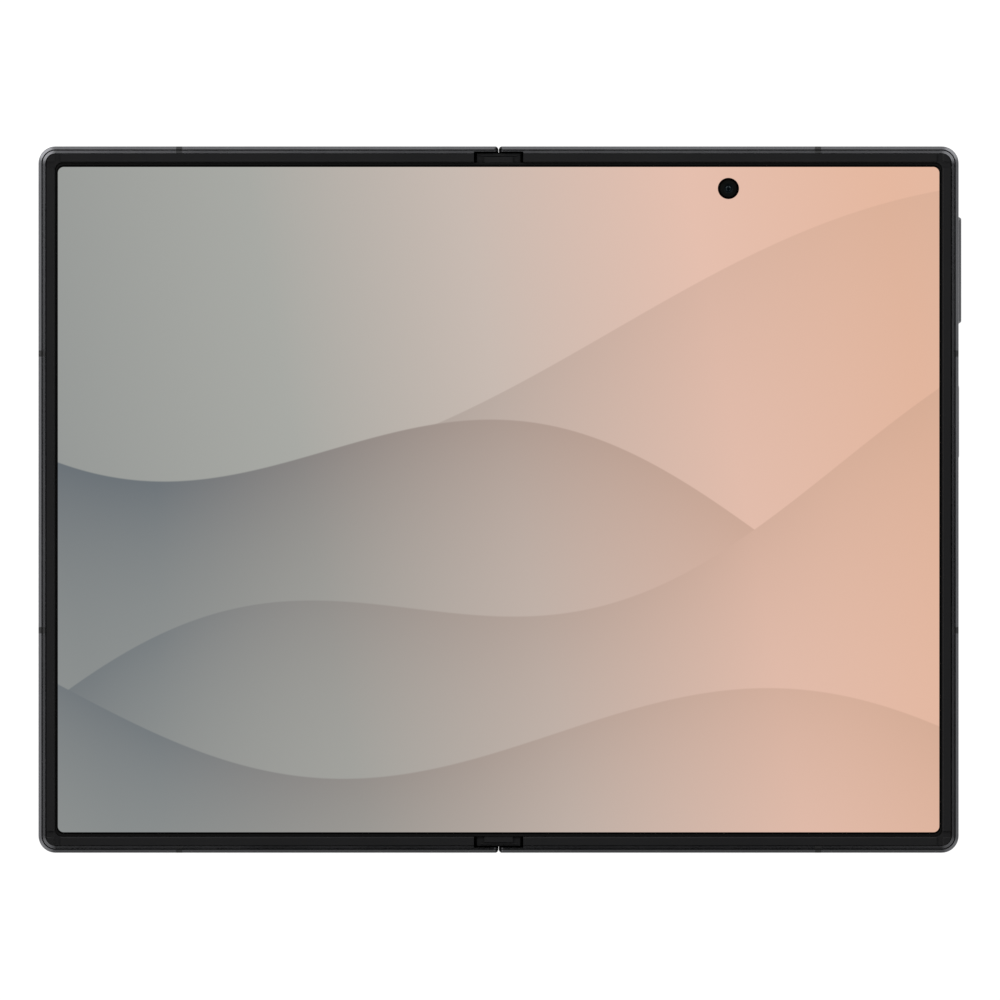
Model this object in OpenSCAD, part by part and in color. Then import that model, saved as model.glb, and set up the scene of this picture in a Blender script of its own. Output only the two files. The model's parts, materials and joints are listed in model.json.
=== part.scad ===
/* [Body] */
// Width of the open phone, across the fold
body_w = 161.4; // [152:0.1:175]
// Height of the phone, along the fold
body_h = 123.9; // [118:0.1:135]
// Thickness of one half, from its back to the top of its bezel
body_t = 4.9; // [4.8:0.05:5.6]
// Radius of the outer corners in plan
corner_r = 3.0; // [2.8:0.1:5]
// Gap between the two bezels when the phone is shut
fold_gap = 0.06; // [0.06:0.02:0.2]

/* [Rail] */
// Thickness of the metal rail round the edge
rail_w = 1.24; // [1.15:0.01:1.5]
// Thickness of the rail where it passes the end of the hinge
rail_end_w = 0.9; // [0.8:0.05:1.1]
// Width of the slope along the rail's outer edge on the display side
edge_w = 0.55; // [0.45:0.01:0.6]
// Fall of that slope
edge_h = 0.36; // [0.3:0.01:0.45]
// Radius of the shoulder under the slope
edge_r = 0.3; // [0.1:0.05:0.4]
// Radius of the rail's outer edge on the back
back_edge_r = 0.7; // [0.4:0.05:0.9]
// Height of the bezel over the rail's outer crest
crest_drop = 0.25; // [0.15:0.05:0.4]
// Height of the bezel over the rail's inner lip
lip_drop = 0.15; // [0.05:0.05:0.3]
// Width of the groove between crest and lip
groove_w = 0.2; // [0.15:0.01:0.3]
// Depth of that groove below the crest
groove_d = 0.25; // [0.2:0.05:0.5]
// Fall of the lip towards the groove
lip_fall = 0.2; // [0.1:0.01:0.25]
// Radius of the rail's corner in plan at the fold
notch_r = 0.6; // [0.4:0.05:0.9]
// Width of the ledge that the back panels are glued to
ledge_w = 0.86; // [0.5:0.02:1.2]
// Thickness of that ledge
ledge_t = 0.55; // [0.3:0.05:0.8]
// Width of an antenna band
band_w = 1.1; // [0.6:0.1:2]
// Distance from the fold to the bands in the two end rails
band_x = 56.0; // [40:0.5:65]
// Distance from the top edge to the upper band in the side rail
band_upper_y = 36.35; // [33.95:0.1:37.95]
// Distance from the bottom edge to the lower band in the side rail
band_lower_y = 39.05; // [21.95:0.1:51.95]

/* [Panels] */
// Thickness of the folding display
display_t = 0.5; // [0.4:0.05:0.6]
// Depth of the display below the top of the bezel
display_drop = 0.35; // [0.2:0.05:0.45]
// Width of the bezel along the side rails
bezel_w_side = 1.45; // [1:0.05:2.5]
// Width of the bezel along the end rails
bezel_w_end = 1.5; // [1.2:0.05:1.8]
// Gap between side rail and bezel
bezel_gap_side = 0.21; // [0.1:0.01:0.4]
// Gap between end rail and bezel
bezel_gap_end = 0.1; // [0.08:0.01:0.15]
// Thickness of the back glass and the cover glass
glass_t = 0.5; // [0.4:0.05:0.6]
// Thickness of the cover display under its glass
cover_display_t = 0.6; // [0.5:0.05:0.7]
// Thickness of the mid plate under the display
plate_t = 0.55; // [0.4:0.05:0.6]

/* [Hinge] */
// Distance from the middle of the phone to each fold axis
axis_x = 1.75; // [1.7:0.01:1.8]
// Thickness of the lip of each half behind the spine
flap_t = 0.6; // [0.5:0.05:0.65]
// Wall of the spine
spine_wall = 0.4; // [0.3:0.05:0.45]
// Running gap between the spine and each half
spine_gap = 0.1; // [0.08:0.01:0.12]
// Height of the fold axis over the top of the spine's walls
spine_cut = 0.6; // [0.55:0.05:0.8]
// Pitch radius of the four timing gears at each end
gear_r = 0.75; // [0.74:0.01:0.76]
// Number of teeth on each timing gear
gear_teeth = 10; // [9:1:12]
// Height of a tooth over the pitch circle
tooth_add = 0.12; // [0.08:0.01:0.13]
// Depth of a tooth under the pitch circle
tooth_ded = 0.16; // [0.15:0.01:0.2]
// Width of a timing gear
gear_w = 0.8; // [0.6:0.05:0.85]
// Radius of a hinge shaft
shaft_r = 0.45; // [0.4:0.01:0.48]
// Radius of an idler's pin
idler_pin_r = 0.2; // [0.15:0.01:0.25]
// Outer radius of the arms' barrels
barrel_r = 0.75; // [0.7:0.01:0.78]
// Length of an arm's barrel
arm_w = 6.0; // [4:0.5:8]
// Reach of an arm's pad beyond the hinge wall
pad_l = 4.0; // [3:0.5:6]
// Radial running clearance of shafts and pins
run_gap = 0.05; // [0.03:0.01:0.07]
// Thickness of a wing plate under the fold
wing_t = 0.3; // [0.25:0.01:0.32]
// Half the width of the cap over the gears
cap_w = 3.8; // [3.3:0.1:3.9]
// Thickness of that cap
cap_t = 0.12; // [0.1:0.01:0.15]
// Half the width of the bar at the cap's outer edge
bar_w = 3.2; // [2.6:0.1:3.3]
// Half the width of the block on the cap
hood_w = 2.5; // [2:0.1:2.6]
// Height of the block over the cap's underside
hood_t = 0.38; // [0.3:0.01:0.4]

/* [Cameras] */
// Height of the camera deck over the back glass
deck_h = 1.0; // [0.8:0.1:1.4]
// Height of a lens ring over the deck
ring_h = 0.6; // [0.4:0.1:0.8]
// Width of the camera deck
deck_w = 20.0; // [18:0.5:24]
// Distance between neighbouring lenses
lens_pitch = 16.5; // [15.5:0.5:18]
// Outer radius of a lens ring
ring_r = 7.6; // [7:0.1:7.7]
// Radius of a camera's cover lens
lens_r = 6.1; // [5.6:0.1:6.3]
// Radius of a camera's barrel
cam_barrel_r = 4.6; // [4:0.1:4.8]
// Width of a camera module
cam_w = 11.0; // [10:0.5:12]
// Distance from the side edge to the middle of the deck
deck_inset_x = 14.2; // [13:0.1:16]
// Distance from the top edge to the first lens
deck_inset_y = 14.2; // [13:0.1:20]
// Distance from the deck's middle to the flash
flash_dx = 15.0; // [14:0.5:20]
// Radius of the flash window
flash_r = 2.1; // [1.5:0.1:2.5]
// Distance from the fold to the inner camera
inner_cam_x = 40.3; // [30:0.1:45]
// Distance from the top edge to the inner camera
inner_cam_inset = 7.4; // [7:0.1:10]
// Radius of the hole for the inner and the cover camera
punch_r = 1.82; // [1.5:0.02:2.2]
// Side of the square body of the inner and the cover camera
small_cam_w = 6.4; // [5.5:0.1:7]

/* [Keys] */
// Length of the volume rocker
rocker_l = 19.0; // [15:0.5:22]
// Distance from the top edge to the middle of the rocker
rocker_y = 21.65; // [20.95:0.1:23.95]
// How far the rocker stands out of the rail
rocker_out = 0.58; // [0.3:0.02:0.8]
// Length of the power key
power_l = 13.3; // [10:0.1:15]
// Distance from the top edge to the middle of the power key
power_y = 48.25; // [46.95:0.1:49.95]
// How far the power key stands out of the rail
power_out = 0.2; // [0.1:0.02:0.5]
// Height of both keys, across the thickness of the phone
key_h = 1.6; // [1.2:0.1:1.7]
// Gap between a key and its slot
key_gap = 0.12; // [0.08:0.01:0.2]
// Room behind the rail for the keys to travel
key_room = 0.3; // [0.25:0.05:0.4]
// Thickness of the flange that keeps a key in
key_flange = 0.4; // [0.3:0.05:0.5]

/* [Ports] */
// Distance from the fold to the charging port
port_x = 42.5; // [35:0.5:45]
// Width of the port's metal shell
port_w = 8.94; // [8.9:0.01:9]
// Height of the port's metal shell
port_h = 3.2; // [3.1:0.01:3.26]
// Length of the port's metal shell
port_l = 7.3; // [6.5:0.1:8]
// Wall of the port's shell
port_wall = 0.3; // [0.2:0.05:0.35]
// Radius of a speaker hole
sound_r = 0.5; // [0.3:0.05:0.6]
// Distance between neighbouring speaker holes
sound_pitch = 1.9; // [1.5:0.1:2.2]
// Speaker holes in a row
sound_n = 6; // [3:1:8]
// Distance from the side edge to the first speaker hole
sound_inset = 24.2; // [23:0.1:26]
// Depth of a speaker, in from the rail
speaker_l = 11; // [9:0.5:11]
// Radius of a speaker's diaphragm
speaker_r = 3.2; // [2.5:0.1:3.8]
// Width of the card tray
tray_w = 12.4; // [11:0.1:14]
// Length of the card tray
tray_l = 15.5; // [14:0.5:18]
// Thickness of the card tray
tray_t = 1.0; // [0.7:0.1:1.1]
// Distance from the fold to the middle of the card tray
tray_x = 27.0; // [20:0.5:40]

/* [Inside] */
// Gap between an inner piece and its seat
seat = 0.1; // [0.05:0.01:0.15]
// Thickness of a circuit board
board_t = 0.6; // [0.5:0.05:0.7]
// Height of the right battery
cell_right_h = 50; // [40:1:51]
// Height of the left battery
cell_left_h = 58; // [45:1:60]
// Height of the left circuit board
left_board_h = 34; // [30:1:36]
// Width of the shield can
can_w = 26; // [20:1:30]
// Height of the shield can along the fold
can_h = 22; // [16:1:28]
// Distance from the hinge to the shield can
can_x = 8; // [4.5:0.5:14]
// Wall of a shield can
can_wall = 0.2; // [0.15:0.05:0.3]
// Length of the vibration motor, across the phone
motor_w = 12; // [9:0.5:14]
// Width of the vibration motor
motor_l = 6; // [4:0.5:7]
// Outer radius of the charging coil
coil_r = 21; // [16:1:23]
// Radius of a screw's head
screw_head_r = 0.9; // [0.7:0.05:1]
// Radius of a screw's shank
screw_r = 0.5; // [0.4:0.05:0.6]

/* [Hidden] */

$fn = 64;
// Steps in a quarter turn of a polygon's round corner
arc_n = 10;
// Overrun of a cutter past the face that it cuts
over = 1;
// Depth to which plate and ledge run into the rail that carries them
bite = 0.3;

half_w = body_w / 2;
half_h = body_h / 2;

// Levels, from the back upwards; the lens rings touch the ground at zero
z_back = deck_h + ring_h;
z_top = z_back + body_t;
z_crest = z_top - crest_drop;
z_lip = z_top - lip_drop;
glue = 0.05;
z_display_top = z_top - display_drop;
z_display = z_display_top - display_t;
z_plate_top = z_display - glue;
z_plate = z_plate_top - plate_t;
z_parts = z_plate - seat;
screw_drop = 0.25;
screw_top = z_plate_top - screw_drop;
z_board = z_parts - board_t;
z_under = z_board - seat;
z_glass = z_back + glass_t;
z_ledge = z_glass + glue;
z_cover_display = z_glass + glue;
z_floor_right = z_glass + 2 * seat;
z_floor_left = z_cover_display + cover_display_t + seat;

// Hinge, seen along the fold
axis_z = z_top + fold_gap / 2 - axis_x;
nose_r = axis_x - fold_gap / 2;
half_gap = fold_gap / 2;
cavity_r = axis_z - z_back - flap_t;
spine_r = cavity_r - spine_gap;
spine_in_r = spine_r - spine_wall;
z_spine_floor = axis_z - spine_in_r;
hinge_x = axis_x + cavity_r;
// From the spine's room to the pivot of a wing plate
pivot_reach = 0.75;
pivot_x = hinge_x + pivot_reach;
pivot_z = z_plate_top - wing_t / 2;
plate_x = pivot_x + wing_t / 2 + seat;
wing_x = axis_x + barrel_r + seat;
// Wall beside the hinge
hinge_wall_t = 0.8;
wall_x = plate_x + hinge_wall_t;
inner_x = wall_x + 2 * seat;
// Half the width of the strip of display that bends
strip_x = 3.6;
bar_top = axis_z - spine_cut + glue;
arm_z = bar_top + glue;
arm_t = 0.4;
// How far the back panels reach over the lip beside the spine
panel_reach = 0.45;
glass_x = hinge_x - panel_reach;

// Plan outlines
rim_out_x = half_w - rail_w - bezel_gap_side;
rim_out_y = half_h - rail_w - bezel_gap_end;
rim_in_x = rim_out_x - bezel_w_side;
rim_in_y = rim_out_y - bezel_w_end;
display_x = rim_in_x - glue;
display_y = rim_in_y - glue;
display_corner_r = 1.3;
recess_y = half_h - rail_end_w;
spine_y = recess_y - spine_gap;
glass_inset = rail_w + glue;
ledge_inset = rail_w + ledge_w;

// Pieces of one hinge end, outwards along the fold
end_wall = 0.25;
end_plate_t = 0.22;
block_in = 1.5;
block_out = 0.2;
spring_room = 1.6;
wing_room = 0.8;
block_in_y = display_y - block_in;
block_out_y = display_y + block_out;
gear_y = block_out_y + glue;
hood_y = gear_y + gear_w;
end_plate_y = spine_y - end_wall - glue - end_plate_t;
cap_y = spine_y - end_wall;
hood_z = axis_z + gear_r + tooth_add + run_gap;
arm_y = block_in_y - spring_room - arm_w;
spring_y = arm_y + arm_w + glue;
wing_end_y = block_in_y - wing_room;
ear_w = 0.55;
idler_x = gear_r;
idler_z = axis_z - sqrt(pow(2 * gear_r, 2) - pow(axis_x - idler_x, 2));
mesh_angle = atan2(axis_z - idler_z, axis_x - idler_x);

// A mating gear's turn, for a line of centres at an angle and the first gear's own turn
function mate(angle, turn) = 2 * angle + 180 + 180 / gear_teeth - turn;
turn_idler_left = 0;
turn_idler_right = mate(0, turn_idler_left);
turn_gear_right = mate(mesh_angle, turn_idler_right);
turn_gear_left = mate(180 - mesh_angle, turn_idler_left);

// Cameras
deck_x = half_w - deck_inset_x;
lens_y = [for (i = [0 : 2]) half_h - deck_inset_y - i * lens_pitch];
flash_x = deck_x - flash_dx;
inner_cam_y = half_h - inner_cam_inset;
cover_cam_x = half_w / 2 + plate_x / 2;

// Keys, bands and ports
rocker_at = half_h - rocker_y;
power_at = half_h - power_y;
band_upper_at = half_h - band_upper_y;
band_lower_at = -half_h + band_lower_y;
key_lift = 0.35;
key_z = z_ledge + ledge_t + seat + key_h / 2 + key_lift;
flange_x = half_w - rail_w - key_room - key_flange;
dome_gap = 0.24;
dome_h = 0.22;
dome_x = flange_x - dome_gap;
flex_x = dome_x - dome_h;
flex_t = 0.2;
key_wall_x = flex_x - flex_t - glue;
key_wall_t = 0.8;
port_drop = 0.2;
port_inset = 0.3;
port_z = z_back + body_t / 2 - port_drop;
port_y = -half_h + port_inset;
tray_z = (z_floor_left + z_parts) / 2;
tray_head_h = tray_t + 0.6;
sound_x = half_w - sound_inset;

// A round corner of a polygon
function arc(x, y, r, from, to) =
    [for (i = [0 : arc_n]) let (t = from + (to - from) * i / arc_n) [x + r * cos(t), y + r * sin(t)]];

// Outline of the right half in plan, from x0 to an inset from the outer edge
function half_points(x0, inset_x, inset_y, r) =
    let (x = half_w - inset_x, y = half_h - inset_y)
    concat([[x0, -y]], arc(x - r, -y + r, r, -90, 0), arc(x - r, y - r, r, 0, 90), [[x0, y]]);

// One tooth, as half angles at root, pitch and tip
backlash = 1.3;
function tooth(a) =
    let (root = gear_r - tooth_ded, tip = gear_r + tooth_add, half = 90 / gear_teeth - backlash)
    [for (p = [[root, -half - 4.5], [gear_r, -half], [tip, -half + 5], [tip, half - 5], [gear_r, half],
        [root, half + 4.5]]) [p[0] * cos(a + p[1]), p[0] * sin(a + p[1])]];
function gear_points(turn) = [for (i = [0 : gear_teeth - 1], p = tooth(turn + i * 360 / gear_teeth)) p];

module box(x0, x1, y0, y1, z0, z1) {
    translate([x0, y0, z0])
        cube([x1 - x0, y1 - y0, z1 - z0]);
}

// A profile drawn in x and z, drawn out along the fold from y0 to y1
module along_y(y0, y1) {
    rotate([90, 0, 0])
        translate([0, 0, -y1])
            linear_extrude(y1 - y0)
                children();
}

module rod_y(r, x, z, y0, y1) {
    translate([x, y1, z])
        rotate([90, 0, 0])
            cylinder(r = r, h = y1 - y0);
}

module slab(points, z0, z1) {
    translate([0, 0, z0])
        linear_extrude(z1 - z0)
            polygon(points);
}

module both_ends() {
    children();
    mirror([0, 1, 0])
        children();
}

module to_left() {
    mirror([1, 0, 0])
        children();
}

// ---- Rail ----

// Section of the rail; x runs outwards from the centre of the corner's curve
module rail_section() {
    outer = corner_r;
    inner = corner_r - rail_w;
    groove_out = outer - edge_w;
    groove_in = groove_out - groove_w;
    groove_z = z_crest - groove_d;
    slope = atan2(edge_h, edge_w);
    shoulder_z = z_crest - edge_r * cos(slope) - (edge_w - edge_r * (1 - sin(slope))) * tan(slope);
    polygon(concat(
        [[inner, z_back]],
        arc(outer - back_edge_r, z_back + back_edge_r, back_edge_r, -90, 0),
        arc(outer - edge_r, shoulder_z, edge_r, 0, 90 - slope),
        [[groove_out, z_crest], [groove_out, groove_z], [groove_in, groove_z],
         [groove_in, z_lip - lip_fall], [inner, z_lip]]
    ));
}

module corner_rail() {
    translate([half_w - corner_r, half_h - corner_r, 0])
        rotate_extrude(angle = 90)
            rail_section();
}

module end_rail() {
    translate([half_gap, half_h - corner_r, 0])
        rotate([90, 0, 90])
            linear_extrude(half_w - corner_r - half_gap)
                rail_section();
}

module rail() {
    both_ends() {
        corner_rail();
        end_rail();
    }
    translate([half_w - corner_r, half_h - corner_r, 0])
        rotate([90, 0, 0])
            linear_extrude(body_h - 2 * corner_r)
                rail_section();
}

// Rounds the rail over the fold axis, so that the halves roll past each other
module fold_nose() {
    along_y(-half_h - over, half_h + over)
        polygon(concat([[-over, axis_z], [half_gap, axis_z]],
            arc(axis_x, axis_z, nose_r, 180, 90),
            [[axis_x, z_top + over], [-over, z_top + over]]));
}

// Rounds the rail's corner at the fold in plan
module fold_notch() {
    both_ends()
        slab(concat([[half_gap - over, half_h - notch_r]],
            arc(half_gap + notch_r, half_h - notch_r, notch_r, 180, 90),
            [[half_gap + notch_r, half_h + over], [half_gap - over, half_h + over]]),
            z_back - over, z_top + over);
}

// Room for the spine, turning about the fold axis
module hinge_room() {
    rod_y(cavity_r, axis_x, axis_z, -recess_y, recess_y);
    box(-over, axis_x, -recess_y, recess_y, z_back + flap_t, z_top + over);
    box(-over, hinge_x, -recess_y, recess_y, axis_z, z_top + over);
}

// The slices of rail that the antenna bands fill
module band_slices() {
    both_ends()
        box(band_x - band_w / 2, band_x + band_w / 2, half_h - rail_w, half_h + over,
            z_back - over, z_top + over);
    for (y = [band_upper_at, band_lower_at])
        box(half_w - rail_w, half_w + over, y - band_w / 2, y + band_w / 2,
            z_back - over, z_top + over);
}

// ---- Frame of one half ----

module screw_holes() {
    for (p = screw_points)
        translate([p[0], p[1], z_parts - board_t - over])
            cylinder(r = screw_r + run_gap, h = screw_top + seat - z_parts + board_t + over);
}

// Two screws in each arm's pad, and one near each end of a board
pad_x = inner_x + pad_l / 2;
pad_screws = [0.28, 0.72];
board_screw_x = [inner_x + 3.5, half_w - ledge_inset - 4.5];
board_screw_y = half_h - ledge_inset - 2;
screw_points = concat(
    [for (s = [-1, 1], d = pad_screws) [pad_x, s * (arm_y + arm_w * d)]],
    [for (s = [-1, 1], x = board_screw_x) [x, s * board_screw_y]]
);

module mid_plate() {
    difference() {
        slab(half_points(plate_x, rail_w - bite, rail_w - bite, corner_r - rail_w + bite),
            z_plate, z_plate_top);
        screw_holes();
    }
}

module glue_ledge() {
    difference() {
        slab(half_points(plate_x, rail_w - bite, rail_w - bite, corner_r - rail_w + bite),
            z_ledge, z_ledge + ledge_t);
        slab(half_points(inner_x - over, ledge_inset, ledge_inset, 1), z_ledge - over,
            z_ledge + ledge_t + over);
    }
}

// Section of the bar along the fold: the lip behind the spine, and the wall beside it
module hinge_bar_section() {
    r = 0.3;
    polygon(concat(
        arc(half_gap + r, z_back + r, r, 180, 270),
        [[glass_x, z_back], [glass_x, z_ledge], [wall_x, z_ledge], [wall_x, bar_top],
         [half_gap, bar_top]]
    ));
}

module hinge_bar() {
    along_y(-half_h + rail_w, half_h - rail_w)
        hinge_bar_section();
    // wall up to the mid plate, with windows for the hinge arms
    difference() {
        box(plate_x, wall_x, -half_h + rail_w, half_h - rail_w, bar_top, z_plate);
        both_ends()
            box(plate_x - over, wall_x + over, arm_y - 2 * seat, arm_y + arm_w + 2 * seat,
                bar_top, z_plate - glue);
    }
    // solid ends that carry the bezel and the wing plate's pivots
    both_ends()
        box(hinge_x - over / 2, wall_x, block_in_y, half_h - rail_w, bar_top, z_plate_top);
}

module wing_ears() {
    both_ends()
        box(pivot_x - 0.4, plate_x + 0.1, wing_end_y + glue, wing_end_y + glue + ear_w,
            pivot_z - 0.5, z_plate_top);
}

module half_frame() {
    difference() {
        union() {
            rail();
            mid_plate();
            glue_ledge();
            hinge_bar();
            wing_ears();
        }
        hinge_room();
        fold_nose();
        fold_notch();
        band_slices();
        both_ends()
            rod_y(0.14 + run_gap, pivot_x, pivot_z, wing_end_y, wing_end_y + ear_w + 0.2);
    }
}

module key_slot(y, l) {
    translate([half_w - rail_w - over, y, key_z])
        rotate([90, 0, 90])
            linear_extrude(rail_w + 2 * over)
                pill(l + 2 * key_gap, key_h + 2 * key_gap);
}

module pill(l, h) {
    hull_r = h / 2;
    polygon(concat(arc(l / 2 - hull_r, 0, hull_r, -90, 90), arc(-l / 2 + hull_r, 0, hull_r, 90, 270)));
}

module sound_row(x0, y) {
    for (i = [0 : sound_n - 1])
        rod_y(sound_r, x0 + i * sound_pitch, port_z, y - rail_w - over, y + rail_w + over);
}

module right_frame() {
    color("#3b3c3f") {
        difference() {
            half_frame();
            key_slot(rocker_at, rocker_l);
            key_slot(power_at, power_l);
            translate([port_x, port_y + port_l + seat, port_z])
                rotate([90, 0, 0])
                    linear_extrude(port_l + over)
                        pill(port_w + 2 * glue, port_h + 2 * glue);
            sound_row(sound_x, -half_h);
            rod_y(sound_r * 0.8, port_x - 10, port_z, -half_h - over, -half_h + rail_w + over);
            translate([inner_cam_x, inner_cam_y, z_plate - over])
                cylinder(r = punch_r + 0.1, h = plate_t + 2 * over);
        }
        // wall that backs the key switches
        box(key_wall_x - key_wall_t, key_wall_x, power_at - power_l / 2, rocker_at + rocker_l / 2,
            z_ledge + ledge_t, z_plate);
    }
}

module left_frame() {
    color("#3b3c3f")
        to_left()
            difference() {
                half_frame();
                translate([tray_x, -half_h + rail_w + ledge_w + over, tray_z])
                    rotate([90, 0, 0])
                        linear_extrude(rail_w + ledge_w + 2 * over)
                            pill(tray_w + 2 * seat + 0.6, tray_head_h + 2 * glue);
                sound_row(sound_x, half_h);
            }
}

module antenna_bands() {
    color("#2b2c2e")
        intersection() {
            rail();
            band_slices();
        }
}

module right_antenna_bands() {
    antenna_bands();
}

module left_antenna_bands() {
    to_left()
        antenna_bands();
}

// ---- Display and its bezel ----

module bezel() {
    rim_r = max(corner_r - rail_w - bezel_gap_side, 0.4);
    r = 0.2;
    color("#1f1f20")
        difference() {
            slab(half_points(hinge_x, half_w - rim_out_x, half_h - rim_out_y, rim_r), z_plate_top, z_top);
            slab(half_points(hinge_x - over, half_w - rim_in_x, half_h - rim_in_y, display_corner_r),
                z_plate_top - over, z_top + over);
            // bevel towards the display
            translate([0, 0, z_top - r])
                bevel_cutter(r);
        }
}

// A slope of 45 degrees all round the bezel's inner edge
module bevel_cutter(r) {
    both_ends()
        translate([0, rim_in_y, 0])
            rotate([90, 0, 90])
                linear_extrude(half_w)
                    polygon([[-over, 0], [0, 0], [r + over, r + over], [-over, r + over]]);
    translate([rim_in_x, half_h, 0])
        rotate([90, 0, 0])
            linear_extrude(body_h)
                polygon([[-over, 0], [0, 0], [r + over, r + over], [-over, r + over]]);
}

module right_bezel() {
    bezel();
}

module left_bezel() {
    to_left()
        bezel();
}

module display_half() {
    slab(half_points(strip_x, half_w - display_x, half_h - display_y, display_corner_r - glue),
        z_display, z_display_top);
}

module display_right() {
    color("#c9ad9c")
        difference() {
            display_half();
            translate([inner_cam_x, inner_cam_y, z_display - over])
                cylinder(r = punch_r, h = display_t + 2 * over);
        }
}

module display_left() {
    color("#9b9d98")
        to_left()
            display_half();
}

module display_fold() {
    color("#b3aaa0")
        box(-strip_x, strip_x, -display_y, display_y, z_display, z_display_top);
}

// ---- Back panels ----

module back_panel() {
    slab(half_points(glass_x + glue, glass_inset, glass_inset, corner_r - glass_inset), z_back, z_glass);
}

module deck_outline(grow) {
    r = deck_w / 2 + grow;
    hull_top = lens_y[0];
    hull_bottom = lens_y[2];
    polygon(concat(arc(deck_x, hull_top, r, 0, 180), arc(deck_x, hull_bottom, r, 180, 360)));
}

module back_glass() {
    color("#4a4d50")
        difference() {
            back_panel();
            translate([0, 0, z_back - over])
                linear_extrude(glass_t + 2 * over)
                    deck_outline(glue);
            translate([flash_x, lens_y[0], z_back - over])
                cylinder(r = flash_r + glue, h = glass_t + 2 * over);
        }
}

module cover_glass() {
    color("#0c0d0f")
        to_left()
            back_panel();
}

module cover_display() {
    color("#15171a")
        to_left()
            difference() {
                slab(half_points(inner_x, ledge_inset + seat, ledge_inset + seat, 1), z_cover_display,
                    z_cover_display + cover_display_t);
                translate([cover_cam_x, inner_cam_y, z_cover_display - over])
                    cylinder(r = punch_r + glue, h = cover_display_t + 2 * over);
            }
}

// ---- Cameras ----

module camera_deck() {
    hole_r = cam_barrel_r + 2 * seat;
    color("#323437")
        difference() {
            translate([0, 0, ring_h])
                linear_extrude(deck_h + glass_t)
                    deck_outline(0);
            for (y = lens_y)
                translate([deck_x, y, 0])
                    cylinder(r = hole_r, h = z_glass + over);
        }
}

module camera_ring(i) {
    color("#5a5c60")
        translate([deck_x, lens_y[i], 0])
            rotate_extrude()
                polygon([[lens_r + glue, 0.15], [lens_r + glue + 0.15, 0], [ring_r - 0.2, 0],
                    [ring_r, 0.2], [ring_r, ring_h], [lens_r + glue, ring_h]]);
}

module camera_lens(i) {
    color("#0b0d12")
        translate([deck_x, lens_y[i], 0.2])
            cylinder(r = lens_r, h = ring_h - 0.2);
}

// A camera: a square body, and a barrel that reaches through the deck to its cover lens
module camera_module(i) {
    color("#1a1a1c")
        translate([deck_x, lens_y[i], 0])
            difference() {
                union() {
                    box(-cam_w / 2, cam_w / 2, -cam_w / 2, cam_w / 2, z_floor_right - seat, z_parts);
                    translate([0, 0, ring_h + glue])
                        cylinder(r = cam_barrel_r, h = z_floor_right - ring_h);
                }
                translate([0, 0, ring_h])
                    cylinder(r1 = cam_barrel_r - 0.6, r2 = 1.6, h = 1.2);
            }
}

module camera_ring_1() {
    camera_ring(0);
}

module camera_ring_2() {
    camera_ring(1);
}

module camera_ring_3() {
    camera_ring(2);
}

module camera_lens_1() {
    camera_lens(0);
}

module camera_lens_2() {
    camera_lens(1);
}

module camera_lens_3() {
    camera_lens(2);
}

module camera_module_1() {
    camera_module(0);
}

module camera_module_2() {
    camera_module(1);
}

module camera_module_3() {
    camera_module(2);
}

module flash_window() {
    color("#e8e2cf")
        translate([flash_x, lens_y[0], z_back]) {
            cylinder(r = flash_r, h = glass_t);
            cylinder(r = flash_r - 0.3, h = z_under - z_back);
        }
}

// A small camera that looks through a hole in a display, towards +z
module punch_camera(z0, z1, z_lens) {
    side = small_cam_w / 2;
    difference() {
        union() {
            box(-side, side, -side, side, z0, z1);
            translate([0, 0, z1])
                cylinder(r = punch_r - glue, h = z_lens - z1);
        }
        translate([0, 0, z_lens - 0.25])
            cylinder(r1 = 0.45, r2 = 0.95, h = 0.25 + glue);
    }
}

module inner_camera() {
    color("#101113")
        translate([inner_cam_x, inner_cam_y, 0])
            punch_camera(z_floor_right, z_under - 0.6, z_display_top - glue);
}

module cover_camera() {
    side = small_cam_w / 2;
    color("#101113")
        translate([-cover_cam_x, inner_cam_y, 0])
            difference() {
                union() {
                    box(-side, side, -side, side, z_floor_left, z_under);
                    translate([0, 0, z_glass + glue])
                        cylinder(r = punch_r - glue, h = z_floor_left - z_glass);
                }
                translate([0, 0, z_glass])
                    cylinder(r1 = 0.95, r2 = 0.45, h = 0.25 + glue);
            }
}

// ---- Inside the right half ----

board_top_y = half_h - ledge_inset - seat;
cell_x0 = inner_x + 1;
cell_x1 = key_wall_x - key_wall_t - 4 * seat;
cell_gap = 0.6;
cell_right_y0 = lens_y[2] - cam_w / 2 - cell_gap - cell_right_h;

module main_board() {
    x1 = deck_x - cam_w / 2 - 0.4;
    y0 = lens_y[2] - cam_w / 2;
    color("#1d4a35")
        difference() {
            box(inner_x + seat, x1, y0, board_top_y, z_board, z_parts);
            translate([inner_cam_x, inner_cam_y, z_board - over])
                cylinder(r = punch_r + 0.4, h = board_t + 2 * over);
            box(inner_x - over, pad_x + pad_l / 2 + 2 * seat, arm_y - 2 * seat, arm_y + arm_w + 2 * seat,
                z_board - over, z_parts + over);
            screw_holes();
        }
}

module shield_can() {
    x0 = inner_x + can_x;
    x1 = x0 + can_w;
    y0 = lens_y[2] - 2;
    y1 = y0 + can_h;
    z0 = z_under - 1;
    color("#b9bcc0")
        difference() {
            box(x0, x1, y0, y1, z0, z_under);
            box(x0 + can_wall, x1 - can_wall, y0 + can_wall, y1 - can_wall, z0 + can_wall, z_under + over);
        }
}

module battery_right() {
    color("#2a2b2e")
        cell(cell_x0, cell_x1, cell_right_y0, cell_right_y0 + cell_right_h, z_floor_right + 0.15, z_parts);
}

// A pouch cell with rounded long edges
module cell(x0, x1, y0, y1, z0, z1) {
    r = (z1 - z0) / 2;
    along_y(y0, y1)
        polygon(concat(arc(x1 - r, z0 + r, r, -90, 90), arc(x0 + r, z0 + r, r, 90, 270)));
}

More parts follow.
